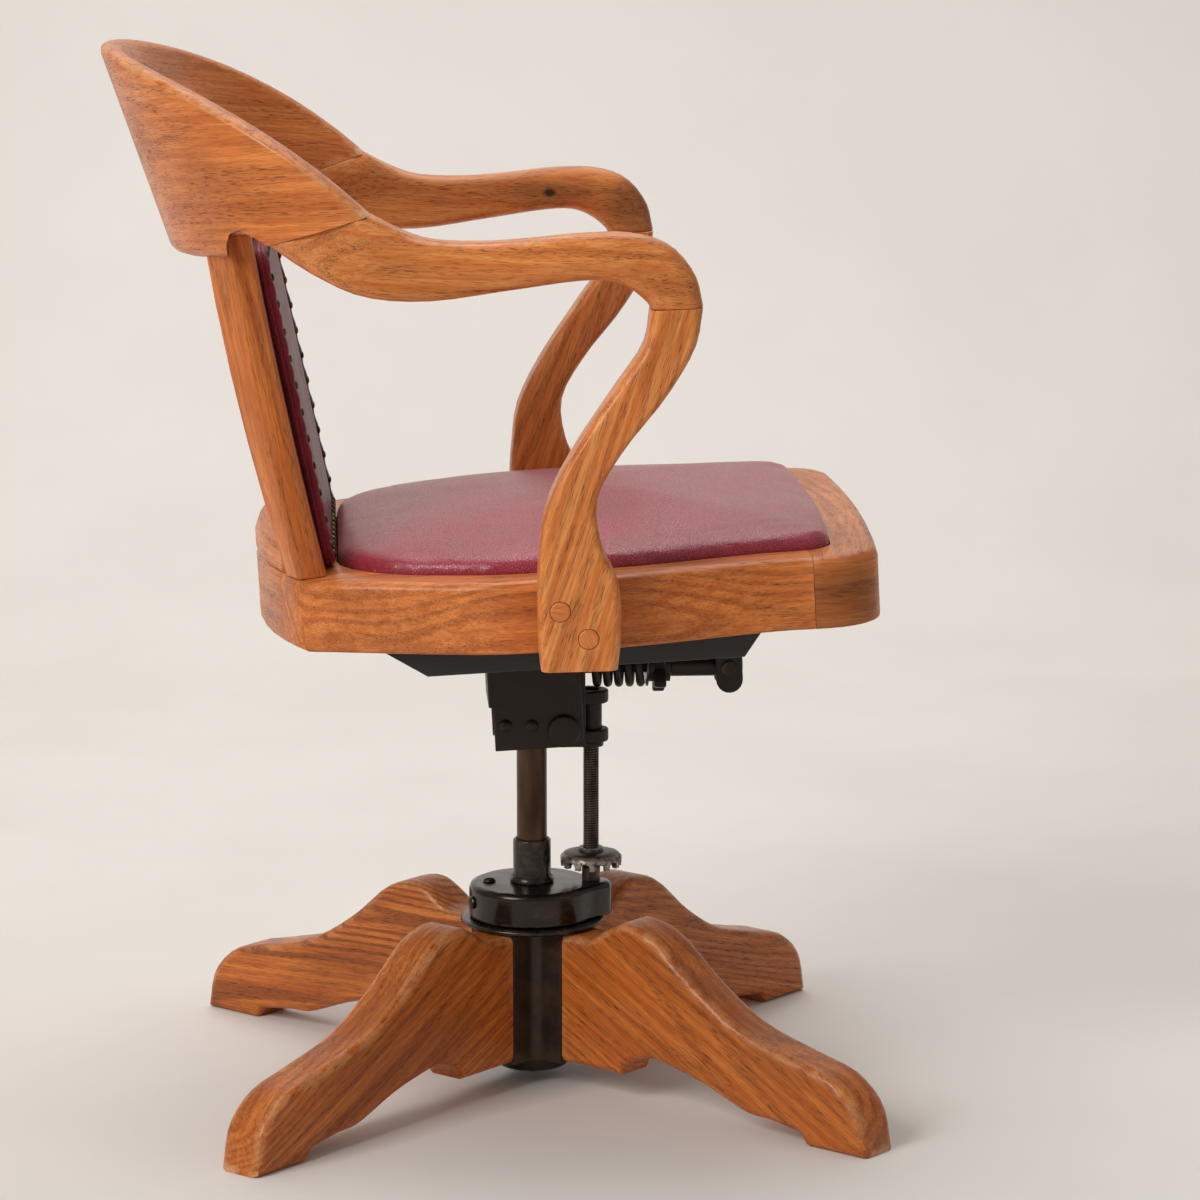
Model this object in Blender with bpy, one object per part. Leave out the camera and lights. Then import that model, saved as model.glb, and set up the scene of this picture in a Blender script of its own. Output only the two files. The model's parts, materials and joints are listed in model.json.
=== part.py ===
"""Oak desk armchair that swivels, rises on a screw and tilts back against a spring.

Metres, +Z up, front towards -Y. Side views are drawn as (forward, height), plans as (across, forward).
"""

import math

import bmesh
import bpy
from mathutils import Vector

# Fits between pieces
FIT = 0.0003
RUNNING = 0.0005
PAD_GAP = 0.0012

# Reach of a cutter past the face it opens, and the small edge break of iron pieces
PAST = 0.01
FAR = 0.1
BREAK = 0.0015

# Stance of the seat over the base
SEAT_HEIGHT = 0.472
SEAT_RAKE = math.radians(3.0)
BASE_TURN = math.radians(2.6)

# Legs and hub
LEG_THICK = 0.041
LEG_ROUND = 0.006
LEG_REACH = 0.3625
LEG_UNDER = 0.0235
LEG_DROP = 0.001
HUB_REACH = 0.049
HUB_PROUD = 0.001
HUB_LOW = 0.0225
HUB_FLOOR = 0.0345
HUB_TOP = 0.135
HUB_FILLET = 0.009
STUD_RADIUS = 0.004
STUD_START = 0.032
STUD_END = 0.095
STUD_HEIGHT = 0.080
BASE_PLATE_RADIUS = 0.030
BASE_PLATE_THICK = 0.0115
BOLT_RADIUS = 0.005
BOLT_HEAD_RADIUS = 0.0095
BOLT_HEAD_THICK = 0.006
BOLT_LENGTH = 0.019

# Swivel drum
FLANGE_RADIUS = 0.0605
FLANGE_THICK = 0.0045
SPIGOT_RADIUS = 0.030
SPIGOT_HEIGHT = 0.009
WASHER_THICK = 0.003
DRUM_RADIUS = 0.053
DRUM_HEIGHT = 0.0283
DRUM_ROUND = 0.005
DRUM_LIFT = 0.0008
LOBE_RADIUS = 0.0178
SLEEVE_RADIUS = 0.016
SLEEVE_RISE = 0.037
SLEEVE_FLARE = 0.0185
RIVET_OUT = 0.036
RIVET_RADIUS = 0.0055
RIVET_SHANK = 0.003
RIVET_DEPTH = 0.006
SET_SCREW_TURN = math.radians(108.0)

# Height screw and handwheel
SCREW_OUT = 0.0498
SCREW_RADIUS = 0.0067
SCREW_TOP = 0.2995
JOURNAL_RADIUS = 0.006
JOURNAL_DEPTH = 0.019
BOSS_RADIUS = 0.0078
BOSS_HEIGHT = 0.0125
WHEEL_RADIUS = 0.026
WHEEL_THICK = 0.0125
WHEEL_NOTCHES = 12
WHEEL_NOTCH_RADIUS = 0.0046
WHEEL_NOTCH_DEPTH = 0.0075
WHEEL_NOTCH_RISE = 0.0018

# Column
SHAFT_RADIUS = 0.0127
SHAFT_LOW = 0.070
SHAFT_TOP = 0.334
HEAD_HALF = 0.0285
HEAD_FRONT = 0.0437
HEAD_BACK = 0.026
HEAD_LOW = 0.2895
HEAD_TOP = 0.362
STOP_LOW = 0.336
STOP_SLOPE = 0.007
LUG_REACH = 0.0645
LUG_HIGH = 0.3225
LUG_THICK = 0.0110
NUT_RADIUS = 0.0092
NUT_FLANGE = 0.0105
NUT_LOW = 0.2850

# Tilt pivot and tension gear
PIVOT_FORWARD = 0.0254
PIVOT_HEIGHT = 0.3054
PIN_RADIUS = 0.008
PIN_BOSS_RADIUS = 0.0136
PIN_BOSS_THICK = 0.004
ROD_HEIGHT = 0.353
ROD_RADIUS = 0.006
ROD_THICK_RADIUS = 0.0093
ROD_BACK = 0.030
ROD_STEP = 0.1168
ROD_FRONT = 0.1767
HANGER_FORWARD = 0.1645
HANGER_EAR = 0.006
HANGER_HALF = 0.0112
HANGER_DROP = 0.0215
HANGER_PIN_RADIUS = 0.004
HANGER_PIN_HEAD = 0.0065
HANGER_PIN_HEAD_THICK = 0.002
SPRING_BACK = 0.0446
SPRING_FRONT = 0.0952
SPRING_RADIUS = 0.01425
SPRING_WIRE = 0.00365
SPRING_TURNS = 4.75
SPRING_POINTS_PER_TURN = 10
TENSION_WASHER_RADIUS = 0.0175
TENSION_WASHER_THICK = 0.002
TENSION_NUT_RADIUS = 0.025
TENSION_NUT_WAIST = 0.0135
TENSION_NUT_LOBES = 5
TENSION_NUT_LENGTH = 0.018
TENSION_NUT_STEP = 0.004

# Seat iron, in the frame of the seat
CHEEK_THICK = 0.006
CHEEK_BACK = 0.041
CHEEK_FRONT = 0.033
CHEEK_BELOW_PIVOT = 0.0143
CHEEK_CORNER = 0.008
IRON_WALL = 0.0036
IRON_WALL_DROP = 0.063
IRON_WEB = 0.005
IRON_FLANGE_HALF = 0.060
IRON_FLANGE_BACK = 0.060
IRON_FLANGE_FRONT = 0.048
CHEEK_RIVETS = ((-0.0316, 0.0072), (-0.0097, 0.0057))

# Seat frame
RAIL_DEPTH = 0.057
RAIL_WIDTH = 0.060
RAIL_ROUND_TOP = 0.007
RAIL_ROUND_LOW = 0.003
REAR_REACH = 0.2285
REAR_SAG = 0.0395
REAR_HALF = 0.192
SEAT_HALF = 0.2545
FRONT_HALF = 0.229
FRONT_JOINT = 0.212
FRONT_REACH = 0.2745
FRONT_BOW = 0.010
FRONT_CORNER = 0.045
BACK_JOINT = 0.142
BACK_RAIL_INNER = 0.150
LIP_SIDE = 0.038
LIP_FRONT = 0.0370
OPENING_BACK = 0.1620
OPENING_REAR_CORNER = 0.060
OPENING_CORNER = 0.030
REBATE = 0.0225
BOARD_THICK = 0.012
PAD_EDGE = 0.0135
PAD_CROWN = 0.036
PAD_ROLL = 0.010
BEARER_THICK = 0.024
BEARER_HALF = 0.200
BEARER_BACK = 0.132
BEARER_FRONT = 0.175
BEARER_BACK_SLOPE = 0.037
BEARER_FRONT_SLOPE = 0.018
BLOCK_HEIGHT = 0.025
BLOCK_ROUND = 0.012
BLOCK_FRONT = 0.183
BLOCK_HALF = 0.147

# Back and arms
STILE_FOOT = 0.1705
STILE_HEAD = 0.2126
STILE_TOP = 0.275
STILE_BOW = 0.0025
STILE_IN = 0.150
STILE_OUT = 0.178
STILE_TURN = 0.007
STILE_SIDE = 0.0204
STILE_DEPTH = 0.0325
STILE_SWELL = 0.0066
STILE_BELLY = 0.0029
STILE_ROUND = 0.003
CREST_CENTRE = 0.1183
CREST_HALF = 0.283
CREST_DEPTH_LOW = 0.1612
CREST_DEPTH_TOP = 0.2106
CREST_LOW = 0.249
CREST_LIFT = 0.022
CREST_END = 0.2944
CREST_RISE = 0.1249
CREST_THICK_LOW = 0.045
CREST_THICK_TOP = 0.017
CREST_ROUND = 0.007
CREST_SLIM = 0.5
CREST_FULLNESS = 0.37
CREST_SWEEP = 94.0
ARM_THICK = 0.037
ARM_ROUND = 0.011
ARM_OUT = 0.295
ARM_JOINT = 0.2109
ARM_SEAM_BACK = (-0.1985, 0.2727)
ARM_SEAM_FRONT = (-0.1183, 0.2944)
POST_ROUND = 0.007
PLUG_RADIUS = 0.008
PLUG_DEPTH = 0.006
PLUG_PROUD = 0.0006
PLUGS = ((0.0089, -0.0175), (0.0297, -0.0402))
PANEL_SET_BACK = 0.0085
PANEL_LOW = 0.0025
PANEL_HIGH = 0.262
PANEL_CORNER = 0.014
PANEL_BOARD = 0.004
PANEL_EDGE = 0.0112
PANEL_CROWN = 0.0119
PANEL_ROLL = 0.0045

# Sides of round pieces
LARGE_SIDES = 40
MEDIUM_SIDES = 28
SMALL_SIDES = 16
RIVET_SIDES = 12


# Outlines and solids


def through(points, count):
    """Smooth curve through a few points, sampled evenly in the order of the points."""
    last = len(points) - 1
    vectors = [Vector(point) for point in points]
    before = vectors[0] * 2 - vectors[1]
    after = vectors[-1] * 2 - vectors[-2]
    padded = [before] + vectors + [after]
    curve = []
    for step in range(count):
        along = step / (count - 1) * last
        span = min(int(along), last - 1)
        t = along - span
        a, b, c, d = padded[span:span + 4]
        bend = (a * 2 - b * 5 + c * 4 - d) * t * t
        twist = (b * 3 - a - c * 3 + d) * t * t * t
        curve.append(tuple((b * 2 + (c - a) * t + bend + twist) / 2))
    return curve


def arc(centre, across, up, start, end, steps):
    """Points of an elliptic arc between two angles in degrees."""
    points = []
    for step in range(steps + 1):
        angle = math.radians(start + (end - start) * step / steps)
        points.append((centre[0] + across * math.cos(angle), centre[1] + up * math.sin(angle)))
    return points


def mirrored(half):
    """Closed outline from its right half, whose ends lie on the middle line."""
    return half + [(-x, y) for x, y in reversed(half[1:-1])]


def inset(outline, distances):
    """Move each edge of a closed outline inwards by a distance of its own."""
    edges = list(zip(outline, outline[1:] + outline[:1]))
    area = sum(x0 * y1 - x1 * y0 for (x0, y0), (x1, y1) in edges)
    turn = 1.0 if area > 0 else -1.0
    normals = []
    for (x0, y0), (x1, y1) in edges:
        length = math.hypot(x1 - x0, y1 - y0)
        normals.append(((y0 - y1) * turn / length, (x1 - x0) * turn / length))
    moved = []
    for index, (x, y) in enumerate(outline):
        (ax, ay), (bx, by) = normals[index - 1], normals[index]
        first, second = distances[index - 1], distances[index]
        cross = ax * by - ay * bx
        if abs(cross) < 0.02:
            half = (first + second) / 4
            moved.append((x + (ax + bx) * half, y + (ay + by) * half))
        else:
            moved.append((x + (first * by - second * ay) / cross, y + (second * ax - first * bx) / cross))
    return moved


def loft(rings, loop=False):
    """Skin over rings of points, closed by flat ends or joined end to end."""
    count = len(rings[0])
    verts = [point for ring in rings for point in ring]
    faces = []
    for row in range(len(rings) if loop else len(rings) - 1):
        low = row * count
        high = (row + 1) % len(rings) * count
        for i in range(count):
            j = (i + 1) % count
            faces.append((low + i, low + j, high + j, high + i))
    if not loop:
        faces.append(tuple(range(count)))
        faces.append(tuple(range(len(verts) - count, len(verts))))
    return verts, faces


def side_view(forward, height, across):
    return across, -forward, height


def plan_view(across, forward, height):
    return across, -forward, height


def leg_view(outwards, height, across):
    return outwards, across, height


def upright(p, q, along):
    return p, q, along


def forwards(p, q, along):
    return p, -along, q


def sideways(p, q, along):
    return along, p, q


def plate(outline, low, high, place, soft_low=0.0, soft_high=0.0, hard_edges=()):
    """Outline pulled from low to high, its two rims rounded except along the hard edges."""
    layers = []
    for angle in (90, 45, 0) if soft_low else (0,):
        fade = 1 - math.cos(math.radians(angle)) if soft_low else 0
        drop = soft_low * (1 - math.sin(math.radians(angle))) if soft_low else 0
        layers.append((soft_low * fade, low + drop))
    for angle in (0, 45, 90) if soft_high else (0,):
        fade = 1 - math.cos(math.radians(angle)) if soft_high else 0
        drop = soft_high * (1 - math.sin(math.radians(angle))) if soft_high else 0
        layers.append((soft_high * fade, high - drop))
    rings = []
    for distance, height in layers:
        distances = [0.0 if i in hard_edges else distance for i in range(len(outline))]
        ring = inset(outline, distances) if distance else outline
        rings.append([place(p, q, height) for p, q in ring])
    return loft(rings)


def turned(profile, sides, place=upright, tube=False):
    """Profile of (radius, position) points turned about an axis, as a bar or as a tube."""
    rings = []
    for radius, along in profile:
        ring = []
        for i in range(sides):
            angle = 2 * math.pi * i / sides
            ring.append(place(radius * math.cos(angle), radius * math.sin(angle), along))
        rings.append(ring)
    return loft(rings, loop=tube)


def bar(radius, low, high, sides, place=upright):
    return turned([(radius, low), (radius, high)], sides, place)


def tube_of(inner, outer, low, high, sides, place=upright):
    profile = [(inner, low), (outer, low), (outer, high), (inner, high)]
    return turned(profile, sides, place, tube=True)


def box(low, high):
    (x0, y0, z0), (x1, y1, z1) = low, high
    outline = [(x0, y0), (x1, y0), (x1, y1), (x0, y1)]
    return loft([[(x, y, z0) for x, y in outline], [(x, y, z1) for x, y in outline]])


def moved(shape, across=0.0, forward=0.0, height=0.0):
    verts, faces = shape
    return [(x + across, y - forward, z + height) for x, y, z in verts], faces


def spun(shape, angle):
    verts, faces = shape
    cos, sin = math.cos(angle), math.sin(angle)
    return [(x * cos - y * sin, x * sin + y * cos, z) for x, y, z in verts], faces


def together(shapes):
    """Several solids in one mesh, for a cutter."""
    verts, faces = [], []
    for more_verts, more_faces in shapes:
        start = len(verts)
        verts = verts + list(more_verts)
        faces = faces + [tuple(start + i for i in face) for face in more_faces]
    return verts, faces


def rounded_section(wide, high, radius):
    """Unit square with rounded corners, for a section of the given size."""
    p, q = min(radius / wide, 0.48), min(radius / high, 0.48)
    corners = [((1 - p, q), 270), ((1 - p, 1 - q), 0), ((p, 1 - q), 90), ((p, q), 180)]
    section = []
    for centre, start in corners:
        section += arc(centre, p, q, start, start + 90, 3)
    return section


def strip(stations, count, outer, thick, radius):
    """Bent bar between paired edge points in side view, its outer face at outer(forward, height)."""
    firsts = through([first for first, second in stations], count)
    seconds = through([second for first, second in stations], count)
    rings = []
    for (u0, w0), (u1, w1) in zip(firsts, seconds):
        ring = []
        for p, q in rounded_section(math.hypot(u1 - u0, w1 - w0), thick, radius):
            forward = u0 + (u1 - u0) * p
            height = w0 + (w1 - w0) * p
            ring.append((outer(forward, height) - thick * q, -forward, height))
        rings.append(ring)
    return loft(rings)


def flipped(shape):
    verts, faces = shape
    return [(-x, y, z) for x, y, z in verts], faces


def cushion(outline, place, base, edge, crown, roll, peak):
    """Padded form with drawn-in sides, a rolled edge and a crown that is highest at the peak."""
    def height_at(point, rise):
        spread = math.hypot((point[0] - peak[0]) / peak[2], (point[1] - peak[1]) / peak[3])
        return edge + (crown - edge) * rise * max(0.0, 1 - 0.35 * spread * spread)

    rings = []
    side = edge - base - roll
    for tuck, height in ((0.45, base), (0.0, base + side * 0.6)):
        ring = inset(outline, [tuck * roll] * len(outline))
        rings.append([place(p, q, height) for p, q in ring])
    for angle in (20, 50, 80):
        turn = math.radians(angle)
        ring = inset(outline, [roll * (1 - math.cos(turn))] * len(outline))
        rings.append([place(p, q, edge - roll + roll * math.sin(turn)) for p, q in ring])
    rim = inset(outline, [roll] * len(outline))
    middle_p, middle_q = peak[:2]
    for share in (0.93, 0.82, 0.66, 0.46, 0.24, 0.08):
        ring = [(middle_p + (p - middle_p) * share, middle_q + (q - middle_q) * share) for p, q in rim]
        rise = 1 - share ** 2.1
        rings.append([place(p, q, height_at((p, q), rise)) for p, q in ring])
    return loft(rings)


# Objects


def make_material(name, colour, roughness, metallic):
    material = bpy.data.materials.new(name)
    material.use_nodes = True
    shader = material.node_tree.nodes["Principled BSDF"]
    shader.inputs["Base Color"].default_value = (*colour, 1.0)
    shader.inputs["Roughness"].default_value = roughness
    shader.inputs["Metallic"].default_value = metallic
    material.diffuse_color = (*colour, 1.0)
    return material


def frame(name, parent, location=(0.0, 0.0, 0.0), rotation=(0.0, 0.0, 0.0)):
    empty = bpy.data.objects.new(name, None)
    empty.location = location
    empty.rotation_euler = rotation
    empty.parent = parent
    bpy.context.scene.collection.objects.link(empty)
    return empty


def mesh_of(name, shape, smooth):
    verts, faces = shape
    mesh = bpy.data.meshes.new(name)
    mesh.from_pydata([Vector(vert) for vert in verts], [], faces)
    work = bmesh.new()
    work.from_mesh(mesh)
    bmesh.ops.recalc_face_normals(work, faces=work.faces)
    work.to_mesh(mesh)
    work.free()
    mesh.polygons.foreach_set("use_smooth", [smooth] * len(mesh.polygons))
    mesh.set_sharp_from_angle(angle=math.radians(38.0))
    return mesh


def piece(name, shape, parent, material, rotation=(0.0, 0.0, 0.0)):
    obj = bpy.data.objects.new(name, mesh_of(name, shape, True))
    obj.parent = parent
    obj.rotation_euler = rotation
    obj.data.materials.append(material)
    bpy.context.scene.collection.objects.link(obj)
    return obj


def shaped_by(obj, label, shape, operation="DIFFERENCE"):
    """Cut a shape from a piece, or join one to it; the shape is drawn in the frame of the piece."""
    name = obj.name + "_" + label
    tool = bpy.data.objects.new(name, mesh_of(name, shape, False))
    tool.parent = obj
    tool.hide_render = True
    tool.display_type = "WIRE"
    bpy.context.scene.collection.objects.link(tool)
    change = obj.modifiers.new(label, "BOOLEAN")
    change.operation = operation
    change.solver = "EXACT"
    change.object = tool


def to_seat(forward, height):
    """Side-view point of the upright frame, as the raked frame of the seat has it."""
    rise = height - SEAT_HEIGHT
    cos, sin = math.cos(SEAT_RAKE), math.sin(SEAT_RAKE)
    return forward * cos + rise * sin, rise * cos - forward * sin


# Base


def leg_shape():
    start = HUB_REACH + FIT
    top = HUB_TOP - LEG_DROP
    crown = through(
        [
            (0.078, top), (0.098, 0.147), (0.118, 0.1535), (0.150, 0.143), (0.190, 0.111),
            (0.235, 0.0845), (0.285, 0.0705), (0.328, 0.059), (0.354, 0.0355), (LEG_REACH, 0.0),
        ],
        32,
    )
    under = through([(0.297, 0.009), (0.266, 0.0135), (0.240, 0.016), (0.194, 0.0325), (0.146, 0.043)], 16)
    cove = arc((0.146, LEG_UNDER), 0.034, 0.0195, 90, 180, 7)
    outline = [(start, top)] + crown + [(0.303, 0.0)] + under + cove[1:] + [(start, LEG_UNDER)]
    half = LEG_THICK / 2
    return plate(outline, -half, half, leg_view, LEG_ROUND, LEG_ROUND, hard_edges=(len(outline) - 1,))


def build_base(chair, oak_dark, iron, steel):
    base = frame("base_frame", chair, rotation=(0.0, 0.0, BASE_TURN))
    half = LEG_THICK / 2 + HUB_PROUD
    corner = half + HUB_FILLET
    quarter = [(HUB_REACH, -half), (HUB_REACH, half)]
    quarter += arc((corner, corner), HUB_FILLET, HUB_FILLET, 270, 180, 4)
    cross = []
    for turn in range(4):
        cos, sin = round(math.cos(math.pi / 2 * turn)), round(math.sin(math.pi / 2 * turn))
        cross += [(x * cos - y * sin, x * sin + y * cos) for x, y in quarter]
    diagonal = (0.0, 0.0, math.pi / 4)
    hub = piece("hub_casting", plate(cross, HUB_LOW, HUB_TOP, upright), base, iron, diagonal)
    bore = SHAFT_RADIUS + RUNNING
    bolt_hole = BOLT_RADIUS + FIT
    drilled = [(bolt_hole, 0.0), (bolt_hole, HUB_FLOOR), (bore, HUB_FLOOR), (bore, HUB_TOP + PAST)]
    shaped_by(hub, "bore", turned(drilled, MEDIUM_SIDES))
    stud_hole = STUD_RADIUS + FIT
    hole = bar(stud_hole, STUD_START - FIT, HUB_REACH + PAST, SMALL_SIDES, sideways)
    hole = moved(hole, height=STUD_HEIGHT)
    shaped_by(hub, "stud_holes", together([spun(hole, math.pi / 2 * turn) for turn in range(4)]))

    corners = ("rear_left", "rear_right", "front_right", "front_left")
    leg_hole = moved(
        bar(stud_hole, HUB_REACH - PAST, STUD_END + FIT, SMALL_SIDES, sideways), height=STUD_HEIGHT
    )
    stud = moved(bar(STUD_RADIUS, STUD_START, STUD_END, SMALL_SIDES, sideways), height=STUD_HEIGHT)
    for number, corner in enumerate(corners):
        turn = (0.0, 0.0, math.pi / 4 + math.pi / 2 * number)
        leg = piece("leg_" + corner, leg_shape(), base, oak_dark, turn)
        shaped_by(leg, "stud_hole", leg_hole)
        piece("leg_stud_" + corner, stud, base, steel, turn)

    plate_high = HUB_LOW - FIT
    plate_low = plate_high - BASE_PLATE_THICK
    rim = BASE_PLATE_RADIUS - BREAK
    under_plate = [
        (bolt_hole, plate_low), (rim, plate_low), (BASE_PLATE_RADIUS, plate_low + BREAK),
        (BASE_PLATE_RADIUS, plate_high), (bolt_hole, plate_high),
    ]
    piece("base_plate", turned(under_plate, MEDIUM_SIDES, tube=True), base, iron)
    head_high = plate_low - FIT
    head = arc((0.0, 0.0), BOLT_HEAD_RADIUS, BOLT_HEAD_RADIUS, 0, 300, 5)
    bolt_shape = plate(head, head_high - BOLT_HEAD_THICK, head_high, upright)
    bolt = piece("base_plate_bolt", bolt_shape, base, steel)
    shank = bar(BOLT_RADIUS, head_high - BOLT_HEAD_THICK / 2, head_high + BOLT_LENGTH, SMALL_SIDES)
    shaped_by(bolt, "shank", shank, "UNION")

    flange_low = HUB_TOP + FIT
    flange_high = flange_low + FLANGE_THICK
    spigot_top = flange_high + SPIGOT_HEIGHT
    rim = FLANGE_RADIUS - BREAK
    profile = [
        (bore, flange_low), (rim, flange_low), (FLANGE_RADIUS, flange_low + BREAK),
        (FLANGE_RADIUS, flange_high - BREAK), (rim, flange_high),
        (SPIGOT_RADIUS, flange_high), (SPIGOT_RADIUS, spigot_top), (bore, spigot_top),
    ]
    piece("hub_flange", turned(profile, LARGE_SIDES, tube=True), base, iron)
    washer_low = spigot_top + FIT
    washer_high = washer_low + WASHER_THICK
    washer = tube_of(SLEEVE_RADIUS + RUNNING * 2, SPIGOT_RADIUS, washer_low, washer_high, MEDIUM_SIDES)
    piece("thrust_washer", washer, base, steel)
    return flange_high, washer_high


# Swivel drum, height screw and column


def drum_outline():
    outline = []
    for i in range(LARGE_SIDES):
        angle = 2 * math.pi * i / LARGE_SIDES
        reach = DRUM_RADIUS
        beside = SCREW_OUT * math.sin(angle)
        if math.cos(angle) > 0 and abs(beside) < LOBE_RADIUS:
            reach = max(reach, SCREW_OUT * math.cos(angle) + math.sqrt(LOBE_RADIUS ** 2 - beside ** 2))
        outline.append((reach * math.sin(angle), reach * math.cos(angle)))
    return outline


def rivet(depth, place):
    """Domed head over a shank that goes down from position zero."""
    radius = RIVET_RADIUS
    profile = [
        (RIVET_SHANK, -depth), (RIVET_SHANK, FIT), (radius, FIT), (radius, radius * 0.2),
        (radius * 0.8, radius * 0.5), (radius * 0.4, radius * 0.65),
    ]
    return turned(profile, RIVET_SIDES, place)


def build_drum(swivel, iron, iron_worn, flange_high, washer_high):
    low = flange_high + DRUM_LIFT
    top = low + DRUM_HEIGHT
    ceiling = washer_high + FIT
    hole = SLEEVE_RADIUS + FIT
    drum = piece("drum_housing", plate(drum_outline(), low, top, plan_view, BREAK, DRUM_ROUND), swivel, iron)
    room = SPIGOT_RADIUS + RUNNING * 2
    cavity = [(room, low - PAST), (room, ceiling), (hole, ceiling), (hole, top + PAST)]
    shaped_by(drum, "cavity", turned(cavity, MEDIUM_SIDES))
    journal = bar(JOURNAL_RADIUS + RUNNING, top - JOURNAL_DEPTH - FIT, top + PAST, SMALL_SIDES)
    shaped_by(drum, "journal_hole", moved(journal, forward=SCREW_OUT))
    rivet_hole = bar(RIVET_SHANK + FIT, -RIVET_DEPTH - FIT, PAST, SMALL_SIDES)
    shaped_by(drum, "rivet_hole", moved(rivet_hole, forward=-RIVET_OUT, height=top))
    rivet_shape = rivet(RIVET_DEPTH, upright)
    piece("drum_rivet", moved(rivet_shape, forward=-RIVET_OUT, height=top), swivel, iron_worn)

    middle = (low + top) / 2
    set_screw = moved(rivet(RIVET_DEPTH, sideways), across=DRUM_RADIUS, height=middle)
    piece("drum_set_screw", spun(set_screw, SET_SCREW_TURN), swivel, iron_worn)
    screw_hole = bar(RIVET_SHANK + FIT, -RIVET_DEPTH - FIT, PAST, SMALL_SIDES, sideways)
    screw_hole = moved(screw_hole, across=DRUM_RADIUS, height=middle)
    shaped_by(drum, "set_screw_hole", spun(screw_hole, SET_SCREW_TURN))

    inner = SHAFT_RADIUS + RUNNING
    foot = top + FIT
    flare = [
        (inner, ceiling), (SLEEVE_RADIUS, ceiling), (SLEEVE_RADIUS, foot), (SLEEVE_FLARE, foot),
        (SLEEVE_FLARE, foot + BREAK * 2), (SLEEVE_RADIUS, foot + BREAK * 4),
        (SLEEVE_RADIUS, foot + SLEEVE_RISE - BREAK), (SLEEVE_RADIUS - BREAK, foot + SLEEVE_RISE),
        (inner, foot + SLEEVE_RISE),
    ]
    piece("column_sleeve", turned(flare, MEDIUM_SIDES, tube=True), swivel, iron)
    return top


def build_height_screw(swivel, iron, steel, drum_top):
    axis = frame("screw_axis", swivel, (0.0, -SCREW_OUT, 0.0))
    boss_low = drum_top + FIT
    boss_top = boss_low + BOSS_HEIGHT
    profile = [
        (JOURNAL_RADIUS, drum_top - JOURNAL_DEPTH), (JOURNAL_RADIUS, boss_low), (BOSS_RADIUS, boss_low),
        (BOSS_RADIUS, boss_top), (SCREW_RADIUS, boss_top), (SCREW_RADIUS, SCREW_TOP - 0.002),
        (SCREW_RADIUS - 0.002, SCREW_TOP),
    ]
    piece("height_screw", turned(profile, SMALL_SIDES), axis, steel)

    low = boss_top + FIT
    high = low + WHEEL_THICK
    bore = SCREW_RADIUS + FIT
    collar = SCREW_RADIUS + 0.004
    disc = [
        (bore, low + 0.003), (WHEEL_RADIUS - 0.007, low + 0.003), (WHEEL_RADIUS - 0.005, low),
        (WHEEL_RADIUS - 0.0005, low), (WHEEL_RADIUS, high - 0.0045), (WHEEL_RADIUS - 0.003, high - 0.0015),
        (WHEEL_RADIUS * 0.6, high), (collar, high), (collar - 0.001, high + 0.0035), (bore, high + 0.0035),
    ]
    wheel = piece("handwheel", turned(disc, MEDIUM_SIDES, tube=True), axis, iron)
    notches = []
    for number in range(WHEEL_NOTCHES):
        notch = bar(WHEEL_NOTCH_RADIUS, WHEEL_RADIUS - WHEEL_NOTCH_DEPTH, WHEEL_RADIUS + PAST, 8, sideways)
        turn = 2 * math.pi * (number + 0.5) / WHEEL_NOTCHES
        notches.append(spun(moved(notch, height=low + WHEEL_NOTCH_RISE), turn))
    shaped_by(wheel, "notches", together(notches))


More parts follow.
